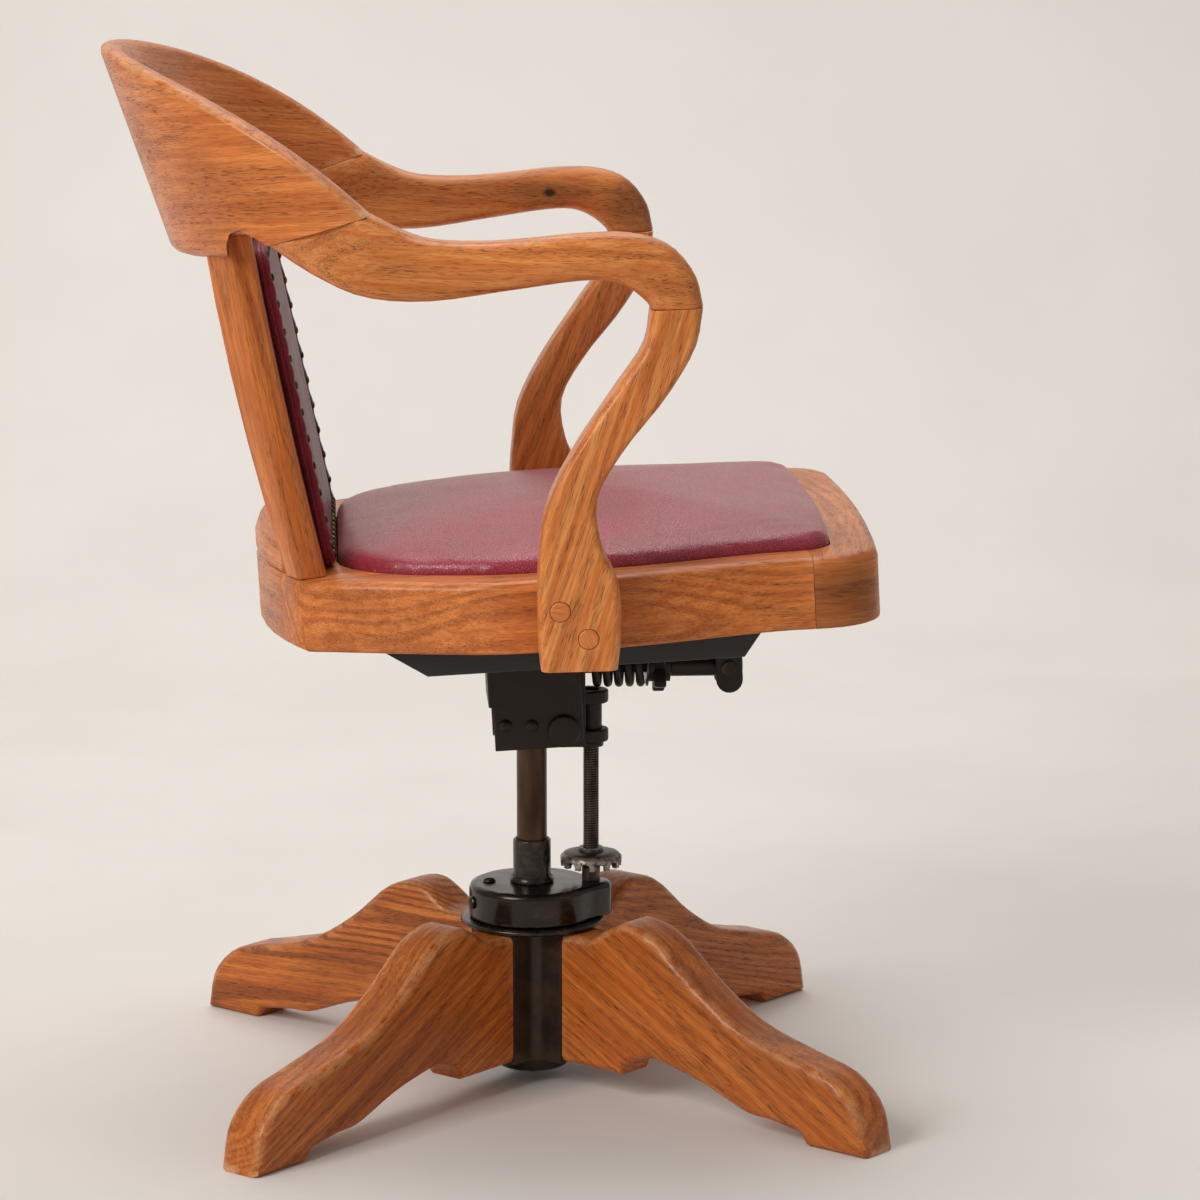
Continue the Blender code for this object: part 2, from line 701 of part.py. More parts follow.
def build_column(lift, iron, steel):
    piece("column_shaft", bar(SHAFT_RADIUS, SHAFT_LOW, SHAFT_TOP, MEDIUM_SIDES), lift, steel)

    wall = to_seat(0.0, (STOP_LOW + HEAD_TOP) / 2)
    cos, sin = math.cos(SEAT_RAKE), math.sin(SEAT_RAKE)
    stop_back = CHEEK_BACK * cos + wall[1] * sin - RUNNING * 2
    outline = [
        (-HEAD_BACK, HEAD_LOW), (HEAD_FRONT, HEAD_LOW), (HEAD_FRONT, HEAD_TOP),
        (-stop_back + STOP_SLOPE, HEAD_TOP), (-stop_back, HEAD_TOP - STOP_SLOPE),
        (-stop_back, STOP_LOW), (-HEAD_BACK, STOP_LOW - STOP_SLOPE),
    ]
    head = piece("column_head", plate(outline, -HEAD_HALF, HEAD_HALF, side_view, BREAK, BREAK), lift, iron)
    lug_half = LUG_REACH - SCREW_OUT
    tip = arc((0.0, SCREW_OUT), lug_half, lug_half, 0, 180, 8)
    lug = tip + [(-lug_half, HEAD_FRONT - 0.012), (lug_half, HEAD_FRONT - 0.012)]
    for label, low in (("lower_lug", HEAD_LOW), ("upper_lug", LUG_HIGH)):
        shaped_by(head, label, plate(lug, low, low + LUG_THICK, plan_view, BREAK, BREAK), "UNION")
    slot_half = ROD_RADIUS + RUNNING * 2
    slot_low = ROD_HEIGHT - ROD_RADIUS * 2
    slot = box((-slot_half, -FAR, slot_low), (slot_half, FAR, HEAD_TOP + PAST))
    shaped_by(head, "rod_slot", slot)
    pin_hole = bar(PIN_RADIUS + FIT, -FAR, FAR, SMALL_SIDES, sideways)
    shaped_by(head, "pin_hole", moved(pin_hole, forward=PIVOT_FORWARD, height=PIVOT_HEIGHT))
    shaped_by(head, "shaft_socket", bar(SHAFT_RADIUS + FIT, HEAD_LOW - PAST, SHAFT_TOP + FIT, MEDIUM_SIDES))
    nut_hole = bar(NUT_RADIUS + FIT, HEAD_LOW - PAST, LUG_HIGH + LUG_THICK + PAST, MEDIUM_SIDES)
    shaped_by(head, "nut_hole", moved(nut_hole, forward=SCREW_OUT))

    bore = SCREW_RADIUS + FIT
    under = HEAD_LOW - FIT
    profile = [
        (bore, NUT_LOW), (NUT_FLANGE, NUT_LOW), (NUT_FLANGE, under), (NUT_RADIUS, under),
        (NUT_RADIUS, LUG_HIGH + LUG_THICK), (bore, LUG_HIGH + LUG_THICK),
    ]
    nut = moved(turned(profile, MEDIUM_SIDES, tube=True), forward=SCREW_OUT)
    piece("lift_nut", nut, lift, iron)


# Seat frame


def side_edge(count):
    """Outer edge of the right half of the seat, from the rear corner to the front rail."""
    rear_corner = (REAR_HALF, REAR_SAG - REAR_REACH)
    points = [
        rear_corner, (0.2445, -0.066), (SEAT_HALF, -0.012), (SEAT_HALF, 0.058),
        (FRONT_HALF + 0.001, 0.1725), (FRONT_HALF, FRONT_JOINT),
    ]
    return [(min(x, SEAT_HALF), u) for x, u in through(points, count)]


def half_width(forward):
    edge = side_edge(41)
    for (x0, u0), (x1, u1) in zip(edge, edge[1:]):
        if u0 <= forward <= u1:
            return x0 + (x1 - x0) * (forward - u0) / (u1 - u0)
    return FRONT_HALF


def rear_edge(across):
    radius = (REAR_HALF ** 2 + REAR_SAG ** 2) / (2 * REAR_SAG)
    return radius - REAR_REACH - math.sqrt(radius ** 2 - across ** 2)


def front_edge(across):
    return FRONT_REACH - FRONT_BOW * (across / FRONT_HALF) ** 2


def opening_outline():
    """Edge of the recess that holds the seat pad."""
    limit = FRONT_HALF - LIP_SIDE - OPENING_CORNER
    turn_from = front_edge(limit) - LIP_FRONT - OPENING_CORNER
    radius = OPENING_REAR_CORNER
    straight_from = radius - OPENING_BACK
    forwards = [straight_from - radius * math.cos(math.radians(angle)) for angle in (0, 18, 36, 54, 72)]
    forwards += [straight_from + (turn_from - straight_from) * step / 10 for step in range(11)]
    sides = []
    for forward in forwards:
        cut = radius - math.sqrt(radius ** 2 - max(0.0, straight_from - forward) ** 2)
        sides.append((half_width(forward) - LIP_SIDE - cut, forward))
    corner = arc((limit, turn_from), OPENING_CORNER, OPENING_CORNER, 0, 90, 5)
    front = [(limit * share, front_edge(limit * share) - LIP_FRONT) for share in (0.66, 0.33, 0.0)]
    return mirrored([(0.0, -OPENING_BACK)] + sides + corner[1:] + front)


def build_seat_frame(seat, oak, plywood, leather, black):
    opening = opening_outline()
    recess = plate(opening, -REBATE, PAST, plan_view)
    rails = {}

    corner_from = FRONT_HALF - FRONT_CORNER
    corner = arc(
        (corner_from, front_edge(corner_from) - FRONT_CORNER), FRONT_CORNER, FRONT_CORNER, 0, 90, 6
    )
    front = [(corner_from * share, front_edge(corner_from * share)) for share in (0.66, 0.33, 0.0)]
    inner = FRONT_JOINT + FIT
    half = [(0.0, inner), (FRONT_HALF, inner)] + corner + front
    outline = mirrored(half)
    straight = (0, len(outline) - 1)
    rails["rail_front"] = plate(
        outline, -RAIL_DEPTH, 0.0, plan_view, RAIL_ROUND_LOW, RAIL_ROUND_TOP, hard_edges=straight
    )

    back = [(BACK_JOINT - FIT) * share for share in (1.0, 0.75, 0.5, 0.25, 0.0)]
    half = [(0.0, -BACK_RAIL_INNER), (BACK_JOINT - FIT, -BACK_RAIL_INNER)]
    outline = mirrored(half + [(x, rear_edge(x)) for x in back])
    count = len(outline)
    straight = (0, 1, count - 2, count - 1)
    rails["rail_back"] = plate(
        outline, -RAIL_DEPTH, 0.0, plan_view, RAIL_ROUND_LOW, RAIL_ROUND_TOP, hard_edges=straight
    )

    outer = side_edge(18)
    inner = [(x - RAIL_WIDTH, u) for x, u in reversed(outer) if x - RAIL_WIDTH > BACK_JOINT]
    end = [(BACK_JOINT, rear_edge(BACK_JOINT))]
    middle = (BACK_JOINT + REAR_HALF) / 2
    outline = outer + inner + [(BACK_JOINT, -BACK_RAIL_INNER)] + end + [(middle, rear_edge(middle))]
    straight = range(len(outer) - 1, len(outline) - 2)
    right = plate(outline, -RAIL_DEPTH, 0.0, plan_view, RAIL_ROUND_LOW, RAIL_ROUND_TOP, hard_edges=straight)
    rails["rail_left"] = right
    rails["rail_right"] = flipped(right)
    for name, shape in rails.items():
        rail = piece(name, shape, seat, oak)
        shaped_by(rail, "recess", recess)

    board_low = -REBATE + FIT
    board_high = board_low + BOARD_THICK
    board = inset(opening, [PAD_GAP] * len(opening))
    piece("seat_board", plate(board, board_low, board_high, plan_view), seat, plywood)
    middle = (front_edge(0.0) - LIP_FRONT - OPENING_BACK) / 2
    peak = (0.0, middle, SEAT_HALF, SEAT_HALF)
    pad = cushion(board, plan_view, board_high + FIT, PAD_EDGE, PAD_CROWN, PAD_ROLL, peak)
    piece("seat_pad", pad, seat, leather)

    high = -RAIL_DEPTH - FIT
    low = high - BEARER_THICK
    outline = [
        (-BEARER_BACK, high), (BEARER_FRONT, high), (BEARER_FRONT - BEARER_FRONT_SLOPE, low),
        (-BEARER_BACK + BEARER_BACK_SLOPE, low),
    ]
    piece("bearer_board", plate(outline, -BEARER_HALF, BEARER_HALF, side_view, BREAK, BREAK), seat, black)

    ends = [BLOCK_HALF * share for share in (1.0, 0.8, 0.6, 0.4, 0.2, 0.0)]
    half = [(0.0, -BLOCK_FRONT), (BLOCK_HALF, -BLOCK_FRONT)] + [(x, rear_edge(x)) for x in ends]
    outline = mirrored(half)
    count = len(outline)
    straight = (0, 1, count - 2, count - 1)
    block = plate(
        outline, FIT, BLOCK_HEIGHT, plan_view, RAIL_ROUND_LOW, BLOCK_ROUND, hard_edges=straight
    )
    piece("back_block", block, seat, oak)
    return low


# Seat iron and tension gear


def build_tilt(seat, tilt, iron, iron_worn, steel, bearer_low):
    pivot = to_seat(PIVOT_FORWARD, PIVOT_HEIGHT)
    top = bearer_low - FIT
    inside = HEAD_HALF + RUNNING
    outside = inside + CHEEK_THICK
    low = pivot[1] - CHEEK_BELOW_PIVOT
    back, front = -CHEEK_BACK - IRON_WALL, CHEEK_FRONT
    outline = [
        (back, low), (front - CHEEK_CORNER, low), (front, low + CHEEK_CORNER), (front, top), (back, top),
    ]
    cheeks = piece("seat_iron", plate(outline, -outside, outside, side_view, BREAK, BREAK), seat, iron)
    web_low = top - IRON_WEB
    gap = box((-inside, -FAR, low - PAST), (inside, CHEEK_BACK, web_low))
    shaped_by(cheeks, "gap", gap)
    wall_cut = box((-FAR, CHEEK_BACK, low - PAST), (FAR, FAR, top - IRON_WALL_DROP))
    shaped_by(cheeks, "wall_cut", wall_cut)
    flange = box(
        (-IRON_FLANGE_HALF, -IRON_FLANGE_FRONT, web_low), (IRON_FLANGE_HALF, IRON_FLANGE_BACK, top)
    )
    shaped_by(cheeks, "flange", flange, "UNION")
    holes = [moved(bar(PIN_RADIUS + FIT, -FAR, FAR, SMALL_SIDES, sideways), 0.0, *pivot)]
    shank = RIVET_SHANK + FIT
    for forward, above in CHEEK_RIVETS:
        hole = bar(shank, -FAR, FAR, SMALL_SIDES, sideways)
        holes.append(moved(hole, 0.0, forward, pivot[1] + above))
    shaped_by(cheeks, "holes", together(holes))
    for name, (forward, above) in zip(("rear", "front"), CHEEK_RIVETS):
        head = moved(rivet(CHEEK_THICK - FIT, sideways), outside, forward, pivot[1] + above)
        piece("cheek_rivet_" + name + "_left", head, seat, iron_worn)
        piece("cheek_rivet_" + name + "_right", flipped(head), seat, iron_worn)

    near, far = outside + FIT, outside + FIT + PIN_BOSS_THICK
    profile = [
        (PIN_BOSS_RADIUS - BREAK, -far), (PIN_BOSS_RADIUS, -far + BREAK), (PIN_BOSS_RADIUS, -near),
        (PIN_RADIUS, -near), (PIN_RADIUS, near), (PIN_BOSS_RADIUS, near),
        (PIN_BOSS_RADIUS, far - BREAK), (PIN_BOSS_RADIUS - BREAK, far),
    ]
    piece("tilt_pin", turned(profile, MEDIUM_SIDES, sideways), tilt, steel)

    hinge = to_seat(HANGER_FORWARD, ROD_HEIGHT)
    ear_in = ROD_THICK_RADIUS + RUNNING
    ear_out = ear_in + HANGER_EAR
    round_centre = (hinge[0], hinge[1] - HANGER_DROP + HANGER_HALF)
    ear = arc(round_centre, HANGER_HALF, HANGER_HALF, 180, 360, 10)
    ear += [(hinge[0] + HANGER_HALF, top), (hinge[0] - HANGER_HALF, top)]
    hanger = piece("rod_hanger", plate(ear, -ear_out, ear_out, side_view, BREAK, BREAK), seat, iron)
    gap_low, gap_high = hinge[1] - HANGER_DROP - PAST, top - IRON_WEB * 2
    shaped_by(hanger, "gap", box((-ear_in, -hinge[0] - FAR, gap_low), (ear_in, -hinge[0] + FAR, gap_high)))
    foot = box(
        (-IRON_FLANGE_HALF / 2, -hinge[0] - HANGER_HALF * 2, top - IRON_WEB),
        (IRON_FLANGE_HALF / 2, -hinge[0] + HANGER_HALF * 2, top),
    )
    shaped_by(hanger, "foot", foot, "UNION")
    hole = bar(HANGER_PIN_RADIUS + FIT, -FAR, FAR, SMALL_SIDES, sideways)
    shaped_by(hanger, "pin_hole", moved(hole, 0.0, *hinge))
    near, far = ear_out + FIT, ear_out + FIT + HANGER_PIN_HEAD_THICK
    pin = turned(
        [
            (HANGER_PIN_HEAD, -far), (HANGER_PIN_HEAD, -near), (HANGER_PIN_RADIUS, -near),
            (HANGER_PIN_RADIUS, near), (HANGER_PIN_HEAD, near), (HANGER_PIN_HEAD, far),
        ],
        SMALL_SIDES,
        sideways,
    )
    piece("hanger_pin", moved(pin, 0.0, *hinge), seat, steel)


def spring_points():
    """Axis of the spring wire: a helix with short straight ends, drawn along the rod."""
    pitch_room = SPRING_FRONT - SPRING_BACK - SPRING_WIRE * 2
    steps = round(SPRING_TURNS * SPRING_POINTS_PER_TURN)
    points = []
    for step in range(steps + 1):
        angle = 2 * math.pi * SPRING_TURNS * step / steps
        along = SPRING_BACK + SPRING_WIRE + pitch_room * step / steps
        points.append(Vector((SPRING_RADIUS * math.cos(angle), -along, SPRING_RADIUS * math.sin(angle))))
    tail = SPRING_WIRE * 2
    start = points[0] + (points[0] - points[1]).normalized() * tail
    end = points[-1] + (points[-1] - points[-2]).normalized() * tail
    start.y, end.y = points[0].y, points[-1].y
    return [start] + points + [end]


def build_spring(rod_axis, steel):
    points = spring_points()
    skip = SPRING_POINTS_PER_TURN // 2
    least = min(
        (points[i] - points[j]).length for i in range(len(points)) for j in range(i + skip, len(points))
    )
    print("least gap of the spring to itself", round((least - SPRING_WIRE * 2) * 1000, 2), "mm")
    data = bpy.data.curves.new("tilt_spring", "CURVE")
    data.dimensions = "3D"
    spline = data.splines.new("POLY")
    spline.points.add(len(points) - 1)
    for slot, point in zip(spline.points, points):
        slot.co = (point.x, point.y + HANGER_FORWARD, point.z, 1.0)
    data.bevel_depth = SPRING_WIRE
    data.bevel_resolution = 1
    data.use_fill_caps = True
    data.materials.append(steel)
    spring = bpy.data.objects.new("tilt_spring", data)
    spring.parent = rod_axis
    bpy.context.scene.collection.objects.link(spring)


def build_tension(tilt, iron, steel):
    start = (0.0, -(HANGER_FORWARD - PIVOT_FORWARD), ROD_HEIGHT - PIVOT_HEIGHT)
    rod_axis = frame("rod_axis", tilt, start)
    profile = [
        (ROD_RADIUS - BREAK, ROD_BACK), (ROD_RADIUS, ROD_BACK + BREAK), (ROD_RADIUS, ROD_STEP),
        (ROD_THICK_RADIUS, ROD_STEP), (ROD_THICK_RADIUS, ROD_FRONT - BREAK * 2),
        (ROD_THICK_RADIUS - BREAK * 2, ROD_FRONT),
    ]
    rod_shape = turned(profile, MEDIUM_SIDES, forwards)
    rod = piece("tension_rod", moved(rod_shape, forward=-HANGER_FORWARD), rod_axis, iron)
    shaped_by(rod, "pin_hole", bar(HANGER_PIN_RADIUS + FIT, -FAR, FAR, SMALL_SIDES, sideways))
    build_spring(rod_axis, iron)

    washer_back = SPRING_FRONT + FIT
    washer_front = washer_back + TENSION_WASHER_THICK
    travel = frame("tension_axis", rod_axis, (0.0, HANGER_FORWARD - washer_front, 0.0))
    bore = ROD_RADIUS + FIT
    washer = tube_of(bore, TENSION_WASHER_RADIUS, -TENSION_WASHER_THICK, 0.0, MEDIUM_SIDES, forwards)
    piece("spring_washer", washer, travel, steel)
    outline = []
    middle = (TENSION_NUT_RADIUS + TENSION_NUT_WAIST) / 2
    swing = (TENSION_NUT_RADIUS - TENSION_NUT_WAIST) / 2
    sides = TENSION_NUT_LOBES * 6
    for i in range(sides):
        angle = 2 * math.pi * i / sides
        reach = middle + swing * math.cos(TENSION_NUT_LOBES * angle)
        outline.append((reach * math.cos(angle), reach * math.sin(angle)))
    back, front = FIT, FIT + TENSION_NUT_LENGTH
    step = TENSION_NUT_STEP
    lobes = plate(outline, back + step, front - step, forwards, BREAK, BREAK)
    nut = piece("tension_nut", lobes, travel, iron)
    shaped_by(nut, "core", bar(TENSION_NUT_WAIST, back, front, MEDIUM_SIDES, forwards), "UNION")
    shaped_by(nut, "bore", bar(bore, -FAR, FAR, MEDIUM_SIDES, forwards))


# Back and arms


def stile_shape(spare):
    """One stile, grown on all sides by the spare."""
    rings = []
    for step in range(6):
        share = step / 5
        height = FIT + (STILE_TOP + spare - FIT) * share
        arch = 4 * share * (1 - share)
        lean = STILE_FOOT + (STILE_HEAD - STILE_FOOT) * share + STILE_BOW * arch
        depth = STILE_DEPTH + STILE_SWELL * share + STILE_BELLY * arch
        outline = [
            (STILE_IN, -lean), (STILE_OUT, -lean),
            (STILE_OUT + STILE_TURN, -lean - STILE_SIDE),
            (STILE_IN + STILE_TURN, -lean - depth),
        ]
        outline = inset(outline, [-spare] * 4)
        soft = []
        for corner, before, after in zip(outline, outline[-1:] + outline[:-1], outline[1:] + outline[:1]):
            corner = Vector(corner)
            for other in (before, after):
                soft.append(tuple(corner + (Vector(other) - corner).normalized() * STILE_ROUND))
        rings.append([plan_view(x, u, height) for x, u in soft])
    return loft(rings)


def crest_depth(height):
    lean = (CREST_DEPTH_TOP - CREST_DEPTH_LOW) / (CREST_END + CREST_RISE - CREST_LOW)
    return CREST_DEPTH_LOW + lean * (height - CREST_LOW)


def crest_shape():
    rings = []
    count = 33
    for step in range(count):
        angle = math.radians(CREST_SWEEP * (2 * step / (count - 1) - 1))
        cos, sin = math.cos(angle), math.sin(angle)
        top = CREST_END + CREST_RISE * cos * (1 + CREST_FULLNESS * (1 - cos))
        low = CREST_LOW + CREST_LIFT * sin * sin
        ring = []
        for p, q in rounded_section(CREST_THICK_TOP, top - low, CREST_ROUND):
            height = low + (top - low) * q
            thick = CREST_THICK_LOW + (CREST_THICK_TOP - CREST_THICK_LOW) * q
            half = CREST_HALF - ARM_THICK * p * (1 - CREST_SLIM * q * max(0.0, cos))
            depth = crest_depth(height) - thick * p
            ring.append((half * sin, CREST_CENTRE + depth * cos, height))
        rings.append(ring)
    return loft(rings)


def arm_outer(forward, height):
    """Outer face of the arm: it carries on the curve of the crest, then flares to the post."""
    behind = -CREST_CENTRE - forward
    if behind > 0:
        return CREST_HALF * math.sqrt(1 - min(0.9, behind / crest_depth(height)) ** 2)
    share = -behind / (0.111 + CREST_CENTRE)
    return CREST_HALF + (ARM_OUT - CREST_HALF) * share * share


def post_outer(forward, height):
    return ARM_OUT


def build_back_and_arms(seat, oak, plywood, leather):
    stile = stile_shape(0.0)
    piece("stile_left", stile, seat, oak)
    piece("stile_right", flipped(stile), seat, oak)

    crest = piece("crest_rail", crest_shape(), seat, oak)
    (back_u, back_w), (front_u, front_w) = ARM_SEAM_BACK, ARM_SEAM_FRONT
    slope = (front_w - back_w) / (front_u - back_u)
    ahead = 0.15
    hollow = [
        (-0.2306, 0.15), (-0.2306, 0.2714), (-0.2275, 0.2805), (-0.2199, 0.2844), (-0.2083, 0.2790),
        (back_u, back_w + FIT), (back_u + ahead, back_w + FIT + slope * ahead), (back_u + ahead, 0.15),
    ]
    shaped_by(crest, "seam_and_cove", plate(hollow, -CREST_HALF - FAR, CREST_HALF + FAR, side_view))
    mortise = stile_shape(FIT)
    shaped_by(crest, "mortises", together([mortise, flipped(mortise)]))

    arm_pairs = [
        (ARM_SEAM_FRONT, ARM_SEAM_BACK),
        ((-0.0985, 0.2828), (-0.1640, 0.2497)),
        ((-0.0738, 0.2726), (-0.1256, 0.2316)),
        ((-0.0353, 0.2686), (-0.0770, 0.2258)),
        ((0.0034, 0.2690), (-0.0179, 0.2306)),
        ((0.0423, 0.2709), (0.0330, 0.2352)),
        ((0.0800, 0.2690), (0.0600, 0.2345)),
        ((0.1085, 0.2585), (0.0770, 0.2270)),
        ((0.1260, 0.2364), (0.0885, 0.2165)),
        ((0.1312, ARM_JOINT + FIT), (0.0912, ARM_JOINT + FIT)),
    ]
    arm = strip(arm_pairs, 31, arm_outer, ARM_THICK, ARM_ROUND)
    piece("arm_left", arm, seat, oak)
    piece("arm_right", flipped(arm), seat, oak)

    post_pairs = [
        ((0.1309, ARM_JOINT), (0.0912, ARM_JOINT)),
        ((0.1232, 0.1798), (0.0845, 0.1830)),
        ((0.0985, 0.1425), (0.0600, 0.1505)),
        ((0.0650, 0.1045), (0.0260, 0.1046)),
        ((0.0425, 0.0680), (0.0035, 0.0640)),
        ((0.0442, 0.0308), (-0.0040, 0.0260)),
        ((0.0557, -0.0005), (-0.0070, -0.0005)),
        ((0.0550, -0.0400), (-0.0085, -0.0400)),
        ((0.0510, -0.0665), (-0.0080, -0.0645)),
    ]
    post_thick = ARM_OUT - SEAT_HALF - FIT
    post_shape = strip(post_pairs, 27, post_outer, post_thick, POST_ROUND)
    for side, turn in (("left", 1), ("right", -1)):
        post = piece("arm_post_" + side, post_shape if turn > 0 else flipped(post_shape), seat, oak)
        holes = []
        for number, (forward, height) in enumerate(PLUGS, 1):
            start, end = turn * (ARM_OUT - PLUG_DEPTH), turn * (ARM_OUT + PLUG_PROUD)
            hole = bar(PLUG_RADIUS + FIT, start - turn * FIT, turn * (ARM_OUT + PAST), SMALL_SIDES, sideways)
            holes.append(moved(hole, 0.0, forward, height))
            rim = end - turn * PLUG_PROUD
            profile = [(PLUG_RADIUS, start), (PLUG_RADIUS, rim), (PLUG_RADIUS * 0.8, end)]
            plug = moved(turned(profile, SMALL_SIDES, sideways), 0.0, forward, height)
            piece("post_plug_" + side + "_" + str(number), plug, seat, oak)
        shaped_by(post, "plug_holes", together(holes))

    lean = math.atan2(STILE_HEAD - STILE_FOOT, STILE_TOP)
    panel = frame("panel_frame", seat, (0.0, STILE_FOOT, 0.0), (-lean, 0.0, 0.0))
    half, corner = STILE_IN - FIT, PANEL_CORNER
    right = arc((half - corner, PANEL_LOW + corner), corner, corner, -90, 0, 3)
    right += [(half, PANEL_LOW + (PANEL_HIGH - PANEL_LOW) * share) for share in (0.25, 0.5, 0.75)]
    right += arc((half - corner, PANEL_HIGH - corner), corner, corner, 0, 90, 3)
    across = [(half - corner) * share for share in (0.0, 0.3, 0.65)]
    low = [(x, PANEL_LOW) for x in across]
    high = [(x, PANEL_HIGH) for x in reversed(across)]
    outline = mirrored(low + right + high)

    def panel_view(x, height, forward):
        return x, -forward, height

    board_back = -PANEL_SET_BACK
    board_front = board_back + PANEL_BOARD
    piece("back_board", plate(outline, board_back, board_front, panel_view), panel, plywood)
    peak = (0.0, PANEL_LOW + 0.30 * (PANEL_HIGH - PANEL_LOW), half, PANEL_HIGH)
    base = board_front + FIT
    pad = cushion(outline, panel_view, base, base + PANEL_EDGE, base + PANEL_CROWN, PANEL_ROLL, peak)
    piece("back_pad", pad, panel, leather)


# Whole chair


def centre_over_origin(chair):
    """Shift the chair so that the middle of its length lies over the origin."""
    bpy.context.view_layer.update()
    graph = bpy.context.evaluated_depsgraph_get()
    reach = []
    for obj in bpy.context.scene.objects:
        if obj.type != "EMPTY" and not obj.hide_render:
            evaluated = obj.evaluated_get(graph)
            reach += [(obj.matrix_world @ vert.co).y for vert in evaluated.to_mesh().vertices]
            evaluated.to_mesh_clear()
    chair.location.y = -(min(reach) + max(reach)) / 2


def main():
    for obj in list(bpy.data.objects):
        bpy.data.objects.remove(obj)
    oak = make_material("oak", (0.52, 0.27, 0.10), 0.38, 0.0)
    oak_dark = make_material("oak_dark", (0.36, 0.165, 0.065), 0.40, 0.0)
    plywood = make_material("plywood", (0.45, 0.29, 0.15), 0.65, 0.0)
    leather = make_material("leather", (0.22, 0.035, 0.045), 0.42, 0.0)
    black = make_material("black_paint", (0.020, 0.017, 0.015), 0.55, 0.0)
    iron = make_material("iron", (0.024, 0.022, 0.020), 0.45, 0.35)
    iron_worn = make_material("iron_worn", (0.060, 0.052, 0.045), 0.42, 0.6)
    steel = make_material("steel", (0.27, 0.21, 0.16), 0.36, 0.9)

    chair = frame("chair", None)
    flange_high, washer_high = build_base(chair, oak_dark, iron, steel)
    swivel = frame("swivel_axis", chair)
    drum_top = build_drum(swivel, iron, iron_worn, flange_high, washer_high)
    build_height_screw(swivel, iron, steel, drum_top)
    lift = frame("lift_axis", swivel)
    build_column(lift, iron, steel)
    tilt = frame("tilt_axis", lift, (0.0, -PIVOT_FORWARD, PIVOT_HEIGHT))
    seat_start = (0.0, PIVOT_FORWARD, SEAT_HEIGHT - PIVOT_HEIGHT)
    seat = frame("seat_frame", tilt, seat_start, (-SEAT_RAKE, 0.0, 0.0))
    bearer_low = build_seat_frame(seat, oak, plywood, leather, black)
    build_tilt(seat, tilt, iron, iron_worn, steel, bearer_low)
    build_tension(tilt, iron, steel)
    build_back_and_arms(seat, oak, plywood, leather)
    centre_over_origin(chair)


main()
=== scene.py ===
"""Looks of an oak desk armchair with leather pads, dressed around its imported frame."""

import json
import math

import bmesh
import bpy
import numpy as np
from mathutils import Matrix, Vector

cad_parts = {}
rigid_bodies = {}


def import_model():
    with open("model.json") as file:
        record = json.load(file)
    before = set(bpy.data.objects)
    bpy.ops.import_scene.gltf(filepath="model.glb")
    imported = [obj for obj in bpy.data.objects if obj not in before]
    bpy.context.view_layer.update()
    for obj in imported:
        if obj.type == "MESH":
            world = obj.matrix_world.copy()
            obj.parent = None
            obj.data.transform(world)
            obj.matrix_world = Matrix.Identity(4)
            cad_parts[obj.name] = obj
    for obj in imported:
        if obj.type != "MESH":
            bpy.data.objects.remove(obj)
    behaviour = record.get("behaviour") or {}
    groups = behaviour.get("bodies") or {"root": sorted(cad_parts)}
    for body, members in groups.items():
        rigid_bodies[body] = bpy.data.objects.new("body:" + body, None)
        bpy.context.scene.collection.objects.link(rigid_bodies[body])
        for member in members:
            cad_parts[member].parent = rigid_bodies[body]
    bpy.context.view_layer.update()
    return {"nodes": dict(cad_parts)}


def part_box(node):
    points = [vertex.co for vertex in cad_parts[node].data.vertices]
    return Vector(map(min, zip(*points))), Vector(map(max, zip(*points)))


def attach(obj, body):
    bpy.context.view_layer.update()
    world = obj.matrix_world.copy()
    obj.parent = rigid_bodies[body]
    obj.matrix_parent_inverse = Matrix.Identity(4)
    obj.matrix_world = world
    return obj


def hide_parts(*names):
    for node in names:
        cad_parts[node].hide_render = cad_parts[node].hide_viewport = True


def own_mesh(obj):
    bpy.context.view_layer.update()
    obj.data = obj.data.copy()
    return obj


for leftover in list(bpy.data.objects):
    bpy.data.objects.remove(leftover)
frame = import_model()
NODES = frame["nodes"]

# Stance of the seat and the back panel, as the frame has them
SWIVEL_Y = sum(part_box("column_shaft")[side].y for side in (0, 1)) / 2
SEAT_RAKE = math.radians(3.0)
SEAT_HEIGHT = 0.472
PANEL_FOOT = 0.1705
PANEL_HEAD = 0.2126
PANEL_LEAN = math.atan2(PANEL_HEAD - PANEL_FOOT, 0.275)
PANEL_HALF = 0.1497
PANEL_LOW, PANEL_HIGH = 0.0025, 0.262
PANEL_CORNER = 0.014
LEG_TURN = math.radians(47.6)
CREST_CENTRE_Y = SWIVEL_Y + 0.1333

SEAT = Matrix.Translation((0.0, SWIVEL_Y, SEAT_HEIGHT)) @ Matrix.Rotation(-SEAT_RAKE, 4, "X")
PANEL = SEAT @ Matrix.Translation((0.0, PANEL_FOOT, 0.0)) @ Matrix.Rotation(-PANEL_LEAN, 4, "X")

# Linear colours: the dark, middle and pale tone of each wood, then single ones
OAK = ((0.235, 0.050, 0.009), (0.575, 0.142, 0.024), (0.760, 0.245, 0.056))
ARM = ((0.270, 0.064, 0.014), (0.690, 0.188, 0.036), (0.860, 0.330, 0.090))
LEG = ((0.165, 0.031, 0.005), (0.490, 0.112, 0.016), (0.670, 0.205, 0.035))
PORE = (0.085, 0.021, 0.006)
KNOT_AND_SHADE_TONE = (0.022, 0.010, 0.006)
WORN_EDGE = (0.76, 0.43, 0.23)
DUST = (0.068, 0.046, 0.033)


